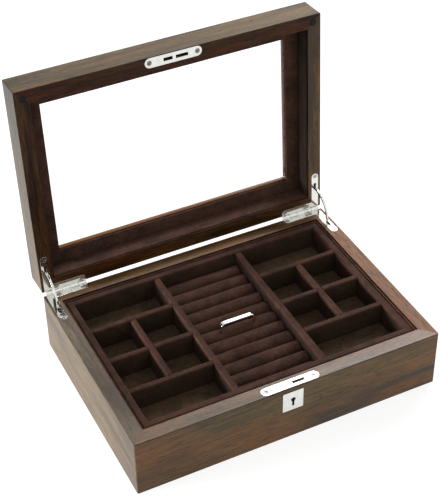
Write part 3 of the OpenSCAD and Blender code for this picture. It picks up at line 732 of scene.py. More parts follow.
def wrapped_strip(
    profile: np.ndarray, half_run: float, mitred: bool, wobble: float, phase: float
) -> np.ndarray:
    """Carries a board's outline along its run, as cloth is wrapped round a strip.

    Where the ends are mitred, a point at depth d runs from -(half_run - d) to half_run - d.
    Where they are square, the outline draws in by 0.25 mm over the last 0.8 mm. The cloth's
    thickness changes by a sum of three sines along the run, up to wobble.

    Args:
        profile: Closed outline as (place, depth and height).
        half_run: Half the length of the outer face.
        mitred: Whether the ends are cut at 45 degrees.
        wobble: Largest change of the surface, in millimetres.
        phase: Start of the sines, so that strips differ.

    Returns:
        Rings as (station, place, run, depth and height).
    """
    soft, most_draw = 0.8, 0.25
    u = stations(max(12, int(half_run / 3)), soft, 2 * half_run)[:, None]
    depth, height = profile[:, 0][None], profile[:, 1][None]
    thick, high = profile[:, 0].max(), profile[:, 1].max()
    run = (2 * u - 1) * (half_run - mitred * depth)
    wave = sum(ripple.wave(run, height, phase) for ripple in CLOTH_RIPPLES) / 2
    turn_in = 0 if mitred else most_draw * np.clip(1 - (half_run - np.abs(run)) / soft, 0, 1) ** 2
    side = (depth - thick / 2) / (thick / 2)
    top_share, up_share = 0.4, 0.7
    foot = (1 - top_share) * high
    top = np.clip((height - foot) / (top_share * high), 0, 1) ** 2
    out_depth = depth + side * (wobble * wave - turn_in)
    out_height = height + top * (up_share * wobble * wave - turn_in)
    return line(run, out_depth, out_height)


class Side(Enum):
    """The four sides of a mitred frame: whether its run is along x, and which way is outside."""

    FRONT = (True, -1)
    BACK = (True, 1)
    LEFT = (False, -1)
    RIGHT = (False, 1)

    def placed(self, rings: np.ndarray, half: Pair) -> np.ndarray:
        """Puts run, depth and height into the frame of this side.

        Args:
            rings: Points as run, depth from the outer face, and height.
            half: Half the width and half the depth of the frame.

        Returns:
            The points as x, y, z.
        """
        along_x, sign = self.value
        run, depth, height = np.moveaxis(rings, -1, 0)
        if along_x:
            return line(run, sign * (half[1] - depth), height)
        return line(sign * (half[0] - depth), run, height)

    def half_run(self, half: Pair) -> float:
        """Half the length of this side's outer face."""
        return half[0] if self.value[0] else half[1]


def framed_strips(
    profile: np.ndarray, half: Pair, foot: float, wobble: float, phase: float, step: float
) -> list[Shell]:
    """Four mitred strips round a frame, in the order of its sides.

    Args:
        profile: The strips' outline.
        half: Half the width and half the depth of the frame.
        foot: Height of the strips' lower edge.
        wobble: Largest change of the surface.
        phase: Start of the first strip's sines.
        step: What each further strip adds to the start.

    Returns:
        The four surfaces.
    """
    strips = []
    for number, side in enumerate(Side):
        rings = wrapped_strip(profile, side.half_run(half), True, wobble, phase + step * number)
        strips.append(lofted(side.placed(rings, half) + [0, 0, foot]))
    return strips


def slab(half: Pair, span: Pair, edge: float, swell: float, phase: float) -> Shell:
    """A soft flat slab: rings of a rectangle that draw in towards the top and the bottom.

    Ring i keeps the rectangle's outline drawn in by edge times one minus the cosine of its angle,
    and its height follows the sine, so that the rim is a half round. The two caps are grids of
    rings that shrink to the middle, and they swell by two crossed sines.

    Args:
        half: Half the width and half the depth.
        span: Lowest and highest height.
        edge: Radius of the rim.
        swell: Unevenness of the two faces.
        phase: Start of the sines.

    Returns:
        The closed surface.
    """
    cap, rim, across, least, most = 14, 9, 20, 0.02, 0.97
    middle, half_h = (span[0] + span[1]) / 2, (span[1] - span[0]) / 2
    angle = np.radians(np.linspace(-90, 90, rim))
    grown, shrunk = np.linspace(least, most, cap), np.linspace(most, least, cap)
    draw = np.concatenate([grown, np.ones(rim), shrunk])[:, None]
    ends = np.full(cap, edge)
    inset = np.concatenate([ends, edge * (1 - np.cos(angle)), ends])[:, None]
    level = np.concatenate([np.full(cap, -1.0), np.sin(angle), np.full(cap, 1.0)])[:, None]
    t = np.linspace(-1, 1, across + 1)[:-1]
    corner = np.concatenate([line(t, -1.0), line(1.0, t), line(-t, 1.0), line(-1.0, -t)])
    x = corner[:, 0] * (half[0] - inset) * draw
    y = corner[:, 1] * (half[1] - inset) * draw
    wave = np.sin(x * 0.09 + phase) * np.sin(y * 0.11 + 2 * phase)
    fade = np.clip(1.6 * (1 - draw), 0, 1)
    return lofted(line(x, y, middle + level * (half_h - swell * fade * (0.5 + 0.5 * wave))))


def turned(profile: np.ndarray, x: float, y: float, around: int = 40) -> Shell:
    """A turned form: the outline of radius and height goes once round an upright axis.

    Args:
        profile: Outline as (place, radius and height), from the bottom to the top.
        x: Place of the axis.
        y: Place of the axis.
        around: Points in each ring.

    Returns:
        The closed surface.
    """
    angle = np.linspace(0, 2 * math.pi, around, endpoint=False)
    radius, height = profile[:, :1], profile[:, 1:]
    return lofted(line(x + radius * np.cos(angle), y + radius * np.sin(angle), height))


# Workshop


def keep(mesh: bpy.types.Mesh, name: str, values: np.ndarray, domain: str = "POINT") -> None:
    """Writes an attribute into a mesh.

    Args:
        mesh: The mesh.
        name: Name of the attribute.
        values: A number or an x, y, z for each item.
        domain: The items, which are points or faces.
    """
    vector = values.ndim == 2
    attribute = mesh.attributes.new(name, "FLOAT_VECTOR" if vector else "FLOAT", domain)
    attribute.data.foreach_set(
        "vector" if vector else "value", values.ravel().astype(np.float32)
    )


def read(items: bpy.types.bpy_prop_collection, key: str, size: int = 3) -> np.ndarray:
    """Reads what a mesh's points, edges or faces hold.

    Args:
        items: The points, edges or faces.
        key: Name of the property.
        size: How many numbers each item holds.

    Returns:
        A row of numbers for each item.
    """
    rows = np.empty(len(items) * size, float)
    items.foreach_get(key, rows)
    return rows.reshape(-1, size)


def bevelled(
    work: bmesh.types.BMesh, edges: list[bmesh.types.BMEdge], width: float, segments: int
) -> None:
    """Rounds edges of a mesh.

    Args:
        work: The mesh.
        edges: The edges to round.
        width: How far back each side is cut, in the mesh's own unit.
        segments: Faces across each rounding.
    """
    bmesh.ops.bevel(
        work, geom=edges, offset=width, offset_type="OFFSET", segments=segments, profile=0.5,
        affect="EDGES", clamp_overlap=False,
    )


@dataclass(frozen=True)
class Piece:
    """What a piece is called, the body it rides on, its finish and the node it stands for.

    An opened piece is drawn on the closed lid and opens with it. Edges that turn by more than
    sharp degrees stay sharp. fill, how full a padded piece is, is not used.
    """

    name: str
    body: str
    finish: Finish
    node: str
    opened: bool = False
    sharp: float = 50.0
    fill: float | None = None


class Workshop:
    """Puts finished pieces into the scene and keeps their names, which main logs."""

    crease: ClassVar[float] = 40.0

    def __init__(self) -> None:
        """Starts with no pieces."""
        self.made: list[str] = []

    def put(self, piece: Piece, mesh: bpy.types.Mesh) -> bpy.types.Object:
        """Adds a mesh to the scene as a piece.

        Args:
            piece: What it is.
            mesh: Its mesh, in metres, in place.

        Returns:
            Its object.
        """
        mesh.shade_smooth()
        mesh.set_sharp_from_angle(angle=math.radians(piece.sharp))
        mesh.materials.append(piece.finish.material())
        item = bpy.data.objects.new(piece.name, mesh)
        bpy.context.scene.collection.objects.link(item)
        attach(item, piece.body)
        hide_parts(piece.node)
        self.made.append(piece.name)
        return item

    def make(self, piece: Piece, shells: list[Shell]) -> bpy.types.Object:
        """Writes surfaces into a mesh and adds it as a piece.

        Args:
            piece: What it is.
            shells: Its closed surfaces.

        Returns:
            Its object.
        """
        shell = Shell.joined(shells)
        points = shell.points
        if piece.opened:
            points = turned_about_hinge(points, SIZES.open_angle)
        mesh = bpy.data.meshes.new(piece.name)
        faces = [face for block in shell.faces for face in block.tolist()]
        mesh.from_pydata((points * MM).tolist(), [], faces)
        work = bmesh.new()
        work.from_mesh(mesh)
        bmesh.ops.recalc_face_normals(work, faces=work.faces)
        work.to_mesh(mesh)
        work.free()
        return self.put(piece, mesh)

    def merged(self, node: str) -> bmesh.types.BMesh:
        """A merged copy of a node in millimetres, its flat faces whole again.

        Args:
            node: The node.

        Returns:
            The copy.
        """
        work = bmesh.new()
        work.from_mesh(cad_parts[node].data)
        bmesh.ops.scale(work, vec=(1 / MM,) * 3, verts=work.verts)
        bmesh.ops.remove_doubles(work, verts=work.verts, dist=0.0015)
        bmesh.ops.dissolve_limit(
            work, angle_limit=math.radians(0.4), verts=work.verts, edges=work.edges
        )
        return work

    def put_flat(self, node: str, body: str, finish: Finish, mesh: bpy.types.Mesh) -> None:
        """Adds a mesh as a piece whose flat faces stay flat beside its rounded edges.

        Args:
            node: The node that it stands for.
            body: The body that it rides on.
            finish: Its finish.
            mesh: Its mesh, in metres, in place.
        """
        item = self.put(Piece(mesh.name, body, finish, node, sharp=self.crease), mesh)
        weighted = item.modifiers.new("flat_faces", "WEIGHTED_NORMAL")
        weighted.keep_sharp = True
        weighted.weight = 100

    def eased(self, node: str, body: str, finish: Finish, width: float) -> None:
        """Adds a copy of a fitting whose outer sharp edges are eased, standing for its node.

        Args:
            node: The node.
            body: The body that it rides on.
            finish: Its finish.
            width: Width of the eased edge in millimetres.
        """
        work = self.merged(node)
        bevelled(work, self.outline_edges(work), width, 2)
        bmesh.ops.scale(work, vec=(MM,) * 3, verts=work.verts)
        mesh = bpy.data.meshes.new("eased_" + node)
        work.to_mesh(mesh)
        work.free()
        self.put_flat(node, body, finish, mesh)

    def outline_edges(
        self, work: bmesh.types.BMesh, slot: float = 16.0
    ) -> list[bmesh.types.BMEdge]:
        """The outer sharp edges of a fitting, without the rims of its small square slots.

        The edges are followed from corner to corner in chains. A chain that meets a sharp inner
        corner and spans less than the slot's size is the rim of a slot, and stays crisp.

        Args:
            work: The fitting's mesh in millimetres.
            slot: The longest slot in millimetres.

        Returns:
            The edges to ease.
        """
        limit = math.radians(self.crease)
        left = {e for e in work.edges if e.calc_face_angle_signed(0.0) > limit}
        inner = {v for e in work.edges if e.calc_face_angle_signed(0.0) < -limit for v in e.verts}
        chosen = []
        while left:
            chain, reach = set(), [left.pop()]
            while reach:
                edge = reach.pop()
                chain.add(edge)
                near = {e for v in edge.verts for e in v.link_edges} & left
                left -= near
                reach.extend(near)
            corners = {v for e in chain for v in e.verts}
            points = np.array([v.co[:] for v in corners])
            if not (corners & inner) or np.ptp(points, axis=0).max() > slot:
                chosen.extend(chain)
        return sorted(chosen, key=lambda e: e.index)

    def dress(self, finish: Finish, *nodes: str) -> None:
        """Gives nodes that stay their finish.

        Args:
            finish: The finish.
            *nodes: The nodes.
        """
        for node in nodes:
            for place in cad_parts[node].material_slots:
                place.material = finish.material()
            self.made.append(node)


@dataclass(frozen=True)
class Board:
    """A wooden board of a mitred frame, copied from its node with eased edges and a grain.

    The upright corner at each mitre is rounded: a point s from the end moves in by
    r - sqrt(r^2 - (r - s)^2), and the end itself goes to 0.293 r on the mitre plane.
    """

    near: ClassVar[float] = 1e-3
    tip_share: ClassVar[float] = 0.293
    corner_lines: ClassVar[Triple] = (1.0, 0.65, 0.42)
    grain_steps: ClassVar[Triple] = (0.731, 0.397, 0.213)
    most_slant: ClassVar[float] = 0.035
    level_limit: ClassVar[float] = 0.3
    pocket_margins: ClassVar[Triple] = (0.8, 0.3, 0.6)

    node: str
    side: Side
    half: Pair
    low: float
    high: float
    thick: float
    hinged: bool = False
    corner_r: float = 1.2
    edge_r: float = 0.5
    seed: float = 0.0
    # rim_stain darkens the faces that look down, the closed lid's rim, as painted shade
    rim_stain: float = 0.0
    bare_inside: float = 0.0
    warm: float = 0.0
    rim_warm: float = 0.0
    finish: Finish = WALNUT
    top_finish: Finish | None = None

    @property
    def half_run(self) -> float:
        """Half the length of the board's outer face."""
        return self.side.half_run(self.half)

    def local(self, points: np.ndarray) -> tuple[np.ndarray, np.ndarray, np.ndarray]:
        """Turns points on the closed box into the board's own terms.

        Args:
            points: The points as x, y, z.

        Returns:
            Their run, depth from the outer face, and height.
        """
        along_x, sign = self.side.value
        x, y, z = points.T
        if along_x:
            return x, self.half[1] - sign * y, z
        return y, self.half[0] - sign * x, z

    def build(self, shop: Workshop, body: str) -> None:
        """Copies the node, rounds its corners, eases its edges and writes its grain.

        Args:
            shop: The workshop.
            body: The body that it rides on.
        """
        work = shop.merged(self.node)
        mesh = bpy.data.meshes.new("board_" + self.node)
        work.to_mesh(mesh)
        work.free()
        if self.hinged:
            closed = turned_about_hinge(read(mesh.vertices, "co"), -SIZES.open_angle)
            mesh.vertices.foreach_set("co", closed.ravel())
        self.cut_corner_lines(mesh)
        self.round_corners(mesh)
        self.ease_edges(mesh)
        points = read(mesh.vertices, "co")
        run, depth, height = self.local(points)
        slant = self.most_slant * math.sin(2.7 * self.seed)
        across = line(run, depth + slant * run, height - 0.7 * slant * run)
        keep(mesh, "grain", across * MM + self.seed * np.array(self.grain_steps))
        shade_faces, on_top = self.write_faces(mesh)
        if self.hinged:
            points = turned_about_hinge(points, SIZES.open_angle)
        mesh.vertices.foreach_set("co", (points * MM).ravel())
        mesh.update()
        shop.put_flat(self.node, body, self.finish, mesh)
        places = np.zeros(len(mesh.polygons), np.int32)
        # faces with painted shade take the shaded walnut, and faces that look up the top finish
        for faces, finish in ((shade_faces, SHADED_WALNUT), (on_top & ~shade_faces, self.top_finish)):
            if finish and faces.any():
                mesh.materials.append(finish.material())
                places[faces] = len(mesh.materials) - 1
        mesh.polygons.foreach_set("material_index", places)

    def write_faces(self, mesh: bpy.types.Mesh) -> tuple[np.ndarray, np.ndarray]:
        """Writes how far each face is darkened as painted shade, left bare, or warm in its wood.

        The faces that look down, which are the closed lid's rim, take painted shade, and so do
        the walls of pockets and the inner edge, where shade falls. A window board's inner edge
        stays bare instead.

        Args:
            mesh: The board's mesh on the closed box, in millimetres.

        Returns:
            Which faces take painted shade, and which look up.
        """
        mesh.update()
        upward = read(mesh.polygons, "normal")[:, 2]
        _, depth, height = self.local(read(mesh.polygons, "center"))
        skin, foot, head = self.pocket_margins
        on_top = upward > self.level_limit
        inside = depth > self.thick - 0.2
        pocket = (depth > skin) & (height > self.low + foot) & (height < self.high - head)
        painted_shade = np.where(upward < -self.level_limit, self.rim_stain, 0)
        painted_shade = np.where(pocket & (depth < self.thick - 0.3), 1, painted_shade)
        # an inner face that is less than half bare, as on the walls, the rails and the right top
        # board, takes painted shade
        painted_shade = np.where(inside & (self.bare_inside < 0.5), 1, painted_shade)
        keep(mesh, "painted_shade", painted_shade, "FACE")
        keep(mesh, "bare", np.where(inside, self.bare_inside, 0), "FACE")
        keep(mesh, "warm", np.where(on_top, self.rim_warm, self.warm), "FACE")
        return painted_shade > 0, on_top

    def cut_corner_lines(self, mesh: bpy.types.Mesh) -> None:
        """Cuts lines across the board near its two ends, for the rounded corners.

        Args:
            mesh: The board's mesh on the closed box, in millimetres.
        """
        axis = Vector((1, 0, 0)) if self.side.value[0] else Vector((0, 1, 0))
        work = bmesh.new()
        work.from_mesh(mesh)
        for share in self.corner_lines:
            for end in (-1, 1):
                bmesh.ops.bisect_plane(
                    work,
                    geom=[*work.verts, *work.edges, *work.faces],
                    dist=1e-5,
                    plane_co=axis * (end * (self.half_run - share * self.corner_r)),
                    plane_no=axis,
                )
        work.to_mesh(mesh)
        work.free()

    def round_corners(self, mesh: bpy.types.Mesh) -> None:
        """Moves the outer face's points near the two ends in on to the corner's arc.

        Args:
            mesh: The board's mesh on the closed box, in millimetres.
        """
        run, depth, height = (a.copy() for a in self.local(read(mesh.vertices, "co")))
        radius = self.corner_r
        from_end = self.half_run - np.abs(run)
        outer = depth < self.near
        tip = outer & (from_end < self.near)
        bent = outer & ~tip & (from_end < radius - self.near)
        left = radius - from_end[bent]
        depth[bent] = radius - np.sqrt(radius**2 - left**2)
        depth[tip] = self.tip_share * radius
        run[tip] -= np.sign(run[tip]) * self.tip_share * radius
        points = self.side.placed(line(run, depth, height), self.half)
        mesh.vertices.foreach_set("co", points.ravel())

    def ease_edges(self, mesh: bpy.types.Mesh) -> None:
        """Rounds the long edges of the outer and the inner face, and leaves the mitres sharp.

        Args:
            mesh: The board's mesh on the closed box, in millimetres.
        """
        run, depth, height = self.local(read(mesh.vertices, "co"))
        a, b = read(mesh.edges, "vertices", 2).astype(int).T
        on_mitre = np.abs(self.half_run - np.abs(run) - depth) < 10 * self.near
        outer = depth < 0.3 * self.corner_r
        inner = np.abs(depth - self.thick) < self.near
        flat = np.minimum(np.abs(height - self.high), np.abs(height - self.low)) < self.near
        level = np.abs(height[a] - height[b]) < self.near
        on_face = (outer[a] & outer[b]) | (inner[a] & inner[b])
        chosen = flat[a] & flat[b] & level & on_face & ~(on_mitre[a] & on_mitre[b])
        work = bmesh.new()
        work.from_mesh(mesh)
        work.edges.ensure_lookup_table()
        edges = [work.edges[i] for i in np.flatnonzero(chosen)]
        edges = [e for e in edges if e.calc_face_angle(0.0) > math.radians(50)]
        bevelled(work, edges, self.edge_r, 3)
        work.to_mesh(mesh)
        work.free()


# The box


@dataclass
class SubAssembly:
    """A part of the box, whose pieces are made in the workshop and mostly ride on one body."""

    shop: Workshop
    body: ClassVar[str] = "base"

    def build(self) -> None:
        """Builds the part's pieces. Each part has its own."""
        raise NotImplementedError

    def make(
        self, name: str, shells: list[Shell], finish: Finish, node: str, **more: bool | float
    ) -> bpy.types.Object:
        """Makes a piece that rides on the part's body."""
        return self.shop.make(Piece(name, self.body, finish, node, **more), shells)


@dataclass
class BoxBase(SubAssembly):
    """The base: four mitred walls, bottom board, felt, floor cloth, ledges and the well's lining.

    warm and rim_warm say how rusty each wall and its rim is, in the order of the sides.
    """

    ledge_t: float = 6.0
    lining_t: float = 2.0
    lining_drop: float = 1.5
    tray_z: float = 32.2
    floor_z: float = 6.0
    floor_cloth_t: float = 1.6
    felt_t: float = 1.0
    seat: float = 7.0
    warm: tuple[float, ...] = (0.25, 0.4, -0.8, 0.4)
    rim_warm: tuple[float, ...] = (0.6, 1.0, -0.5, 1.5)
    # painted sheen on the left wall and the front rim, which take the lit walnut; painted shade
    # on the right rim, which takes the shaded walnut
    finishes: tuple[Finish, ...] = (WALNUT, WALNUT, LIT_WALNUT, WALNUT)
    rims: tuple[Finish | None, ...] = (LIT_WALNUT, None, None, SHADED_WALNUT)
    body: ClassVar[str] = "base"

    def build(self) -> None:
        """Builds the base's pieces."""
        for number, side in enumerate(Side):
            Board(
                f"base_{side.name.lower()}_wall", side, SIZES.half, 0, SIZES.base_h,
                SIZES.wall_t, seed=1.0 + number, warm=self.warm[number],
                rim_warm=self.rim_warm[number], finish=self.finishes[number],
                top_finish=self.rims[number],
            ).build(self.shop, self.body)
        self.shop.dress(RAW_BOARD, "bottom_board")
        self.build_sheets()
        self.build_linings()

    def build_sheets(self) -> None:
        """Builds the felt under the bottom and the cloth on the well's floor."""
        well_w, well_d = SIZES.well
        felt = (well_w + self.seat, well_d + self.seat)
        sheet = slab(felt, (0, self.felt_t), edge=0.45, swell=0.06, phase=0.7)
        self.make("felt_sheet", [sheet], FELT, "felt_pad")
        floor = (well_w - self.ledge_t, well_d - self.ledge_t)
        span = (self.floor_z, self.floor_z + self.floor_cloth_t)
        cloth = slab(floor, span, edge=0.6, swell=0.2, phase=1.9)
        self.make("well_floor_cloth", [cloth], SUEDE, "floor_lining")

    def build_linings(self) -> None:
        """Builds the four covered ledges and the lining strips above them."""
        high = self.tray_z - self.floor_z
        ledge = board_profile(self.ledge_t, high, top_r=0.8, low_r=0.3)
        ledges = framed_strips(ledge, SIZES.well, self.floor_z, wobble=0.08, phase=0.0, step=1.3)
        for side, shell in zip(Side, ledges):
            name = side.name.lower() + "_ledge"
            self.make("covered_" + name, [shell], SUEDE, name)
        high = SIZES.base_h - self.lining_drop - self.tray_z
        lining = board_profile(self.lining_t, high, top_r=0.85, low_r=0.2)
        strips = framed_strips(lining, SIZES.well, self.tray_z, wobble=0.1, phase=0.4, step=2.1)
        self.make("well_lining_strips", strips, SUEDE, "well_linings")


@dataclass
class BoxLid(SubAssembly):
    """The lid: four rails, four top boards round the window, the pane and the suede inside.

    warm, rim_stain and pressed say how rusty each rail is, and how far its rim and its lining
    strip are darkened as painted shade; window_bare says how bare each top board's inner
    edge is, and where it is below one half that edge takes painted shade as well.
    """

    board_t: float = 8.0
    lip: float = 10.0
    border_w: float = 28.0
    border_t: float = 1.5
    lining_t: float = 1.2
    lining_drop: float = 1.5
    bumper_inset: float = 8.0
    warm: tuple[float, ...] = (0.0, -0.3, -0.4, 0.0)
    # rim_stain: painted shade on each rail's rim, none on the right rail's
    rim_stain: tuple[float, ...] = (1.0, 0.8, 0.9, 0.0)
    # pressed: painted shade on each rail's lining strip, most on the right
    pressed: tuple[float, ...] = (0.3, 0.0, 0.3, 0.9)
    # the right top board's inner edge is little bare and takes painted shade instead
    window_bare: tuple[float, ...] = (1.0, 1.0, 1.0, 0.2)
    # the left rail takes the lit walnut: painted sheen
    finishes: tuple[Finish, ...] = (WALNUT, WALNUT, LIT_WALNUT, WALNUT)
    body: ClassVar[str] = "lid"

    def build(self) -> None:
        """Builds the lid's pieces, drawn closed and opened about the hinge axis."""
        low, top = SIZES.rim_z, SIZES.top_z
        window = (SIZES.half[0] - self.lip, SIZES.half[1] - self.lip)
        for number, side in enumerate(Side):
            name = side.name.lower()
            Board(
                f"lid_{name}_rail", side, SIZES.half, low, top, SIZES.wall_t, hinged=True,
                seed=7.0 + number, warm=self.warm[number], rim_stain=self.rim_stain[number],
                finish=self.finishes[number],
            ).build(self.shop, self.body)
            Board(
                f"{name}_top_board", side, window, top - self.board_t, top,
                self.border_w - self.lip, hinged=True, corner_r=0.3, edge_r=0.25,
                seed=12.0 + number, bare_inside=self.window_bare[number],
            ).build(self.shop, self.body)
        self.shop.dress(GLASS, "window_glass")
        self.build_suede()
        self.build_bumpers()

    def build_suede(self) -> None:
        """Builds the flat border round the window and the strips on the rails."""
        border_z = SIZES.top_z - self.board_t - self.border_t
        width = self.border_w - SIZES.wall_t
        border = board_profile(width, self.border_t, top_r=0.5, low_r=0.65, rise=2)
        borders = framed_strips(border, SIZES.well, border_z, wobble=0.08, phase=0.9, step=1.7)
        self.make("window_border_cloth", borders, SUEDE, "window_border", opened=True)
        high = border_z - SIZES.rim_z - self.lining_drop
        strip = board_profile(self.lining_t, high, top_r=0.3, low_r=0.5)
        foot = SIZES.rim_z + self.lining_drop
        strips = framed_strips(strip, SIZES.well, foot, wobble=0.08, phase=0.0, step=1.5)
        piece = self.make("rail_lining_strips", strips, SUEDE, "rail_linings", opened=True)
        sizes = [len(shell.points) for shell in strips]
        # painted shade on the lining strips, most on the right rail's
        keep(piece.data, "pressed", np.repeat(self.pressed, sizes))

    def build_bumpers(self) -> None:
        """Builds the two round bumpers: a low dome on a short drum."""
        low, high = SIZES.base_h + 0.2, SIZES.rim_z + 0.8
        profile = np.array(
            [[0.4, low], [1.6, low + 0.02], [2.6, low + 0.12], [3.2, low + 0.34],
             [3.45, low + 0.6], [3.5, low + 0.8], [3.5, high], [0.4, high]]
        )
        x, y = SIZES.half[0] - self.bumper_inset, self.bumper_inset - SIZES.half[1]
        shells = [turned(profile, end * x, y) for end in (-1, 1)]
        self.make("round_bumpers", shells, RUBBER, "lid_bumpers", opened=True)


@dataclass
class StayHinges(SubAssembly):
    """The two quadrant stay hinges: leaves, pins, screws and curved stays."""

    leaf_ease: float = 0.16
    stay_ease: float = 0.2

    def build(self) -> None:
        """Builds the hinges' pieces."""
        for side in ("left", "right"):
            for body in ("base", "lid"):
                self.shop.eased(f"{side}_{body}_leaf", body, CHROME, self.leaf_ease)
            self.shop.eased(f"{side}_stay", f"stay_{side}", TUMBLED_CHROME, self.stay_ease)
        self.shop.dress(SCREW_STEEL, "base_hinge_screws", "lid_hinge_screws")
        self.shop.dress(TUMBLED_CHROME, "hinge_pins")


@dataclass
class BoxLock(SubAssembly):
    """The box lock: faceplate, case, hub, hook, escutcheon and the strike in the lid."""

    plate_ease: float = 0.22
    escutcheon_ease: float = 0.35

    def build(self) -> None:
        """Builds the lock's pieces."""
        self.shop.eased("lock_faceplate", "base", PLATE_CHROME, self.plate_ease)
        self.shop.eased("escutcheon", "base", SATIN_CHROME, self.escutcheon_ease)
        self.shop.eased("strike_plate", "lid", SATIN_CHROME, self.plate_ease)
        self.shop.dress(PLATE_SCREW, "lock_screws", "strike_screws")
        self.shop.dress(STEEL, "lock_case", "key_hub", "lock_hook")


@dataclass(frozen=True)
class Strap:
    """The handle's arched strap and its two feet."""

    length: float = 36.0
    width: float = 4.5
    thick: float = 1.5
    bend: float = 5.0
    top: float = 56.2
    foot: tuple[Pair, ...] = ((0.5, 0), (2.4, 0), (2.6, 0.2), (2.6, 5.6), (2.2, 6), (0.5, 6))

    def shells(self, floor_z: float) -> list[Shell]:
        """The strap, a rounded outline carried up, over and down, and its two turned feet.

        The path goes straight up, round a quarter circle, along the top and down alike. The
        outline lies across it: its thickness goes along the path's normal, its width along y.

        Args:
            floor_z: Height of the tray's floor.

        Returns:
            The closed surfaces.
        """
        end_x, mid_r = (self.length - self.thick) / 2, self.bend - self.thick / 2
        corner_x, corner_z = end_x - mid_r, self.top - self.bend
        rise = np.linspace(floor_z, corner_z, 9)[:-1]
        over = np.linspace(-corner_x, corner_x, 13)[1:-1]
        path = np.concatenate(
            [
                line(-end_x, rise),
                arc((-corner_x, corner_z), mid_r, 180, 90, 17),
                line(over, self.top - self.thick / 2),
                arc((corner_x, corner_z), mid_r, 90, 0, 17),
                line(end_x, rise[::-1]),
            ]
        )
        step = np.gradient(path, axis=0)
        step /= np.linalg.norm(step, axis=1)[:, None]
        outline = board_profile(self.width, self.thick, 0.5, 0.5, steps=6, rise=1)
        y, out = outline[:, 0] - self.width / 2, outline[:, 1] - self.thick / 2
        rings = line(path[:, :1] - step[:, 1:] * out, y, path[:, 1:] + step[:, :1] * out)
        foot = np.array(self.foot) + [0, floor_z]
        return [lofted(rings), turned(foot, -end_x, 0), turned(foot, end_x, 0)]


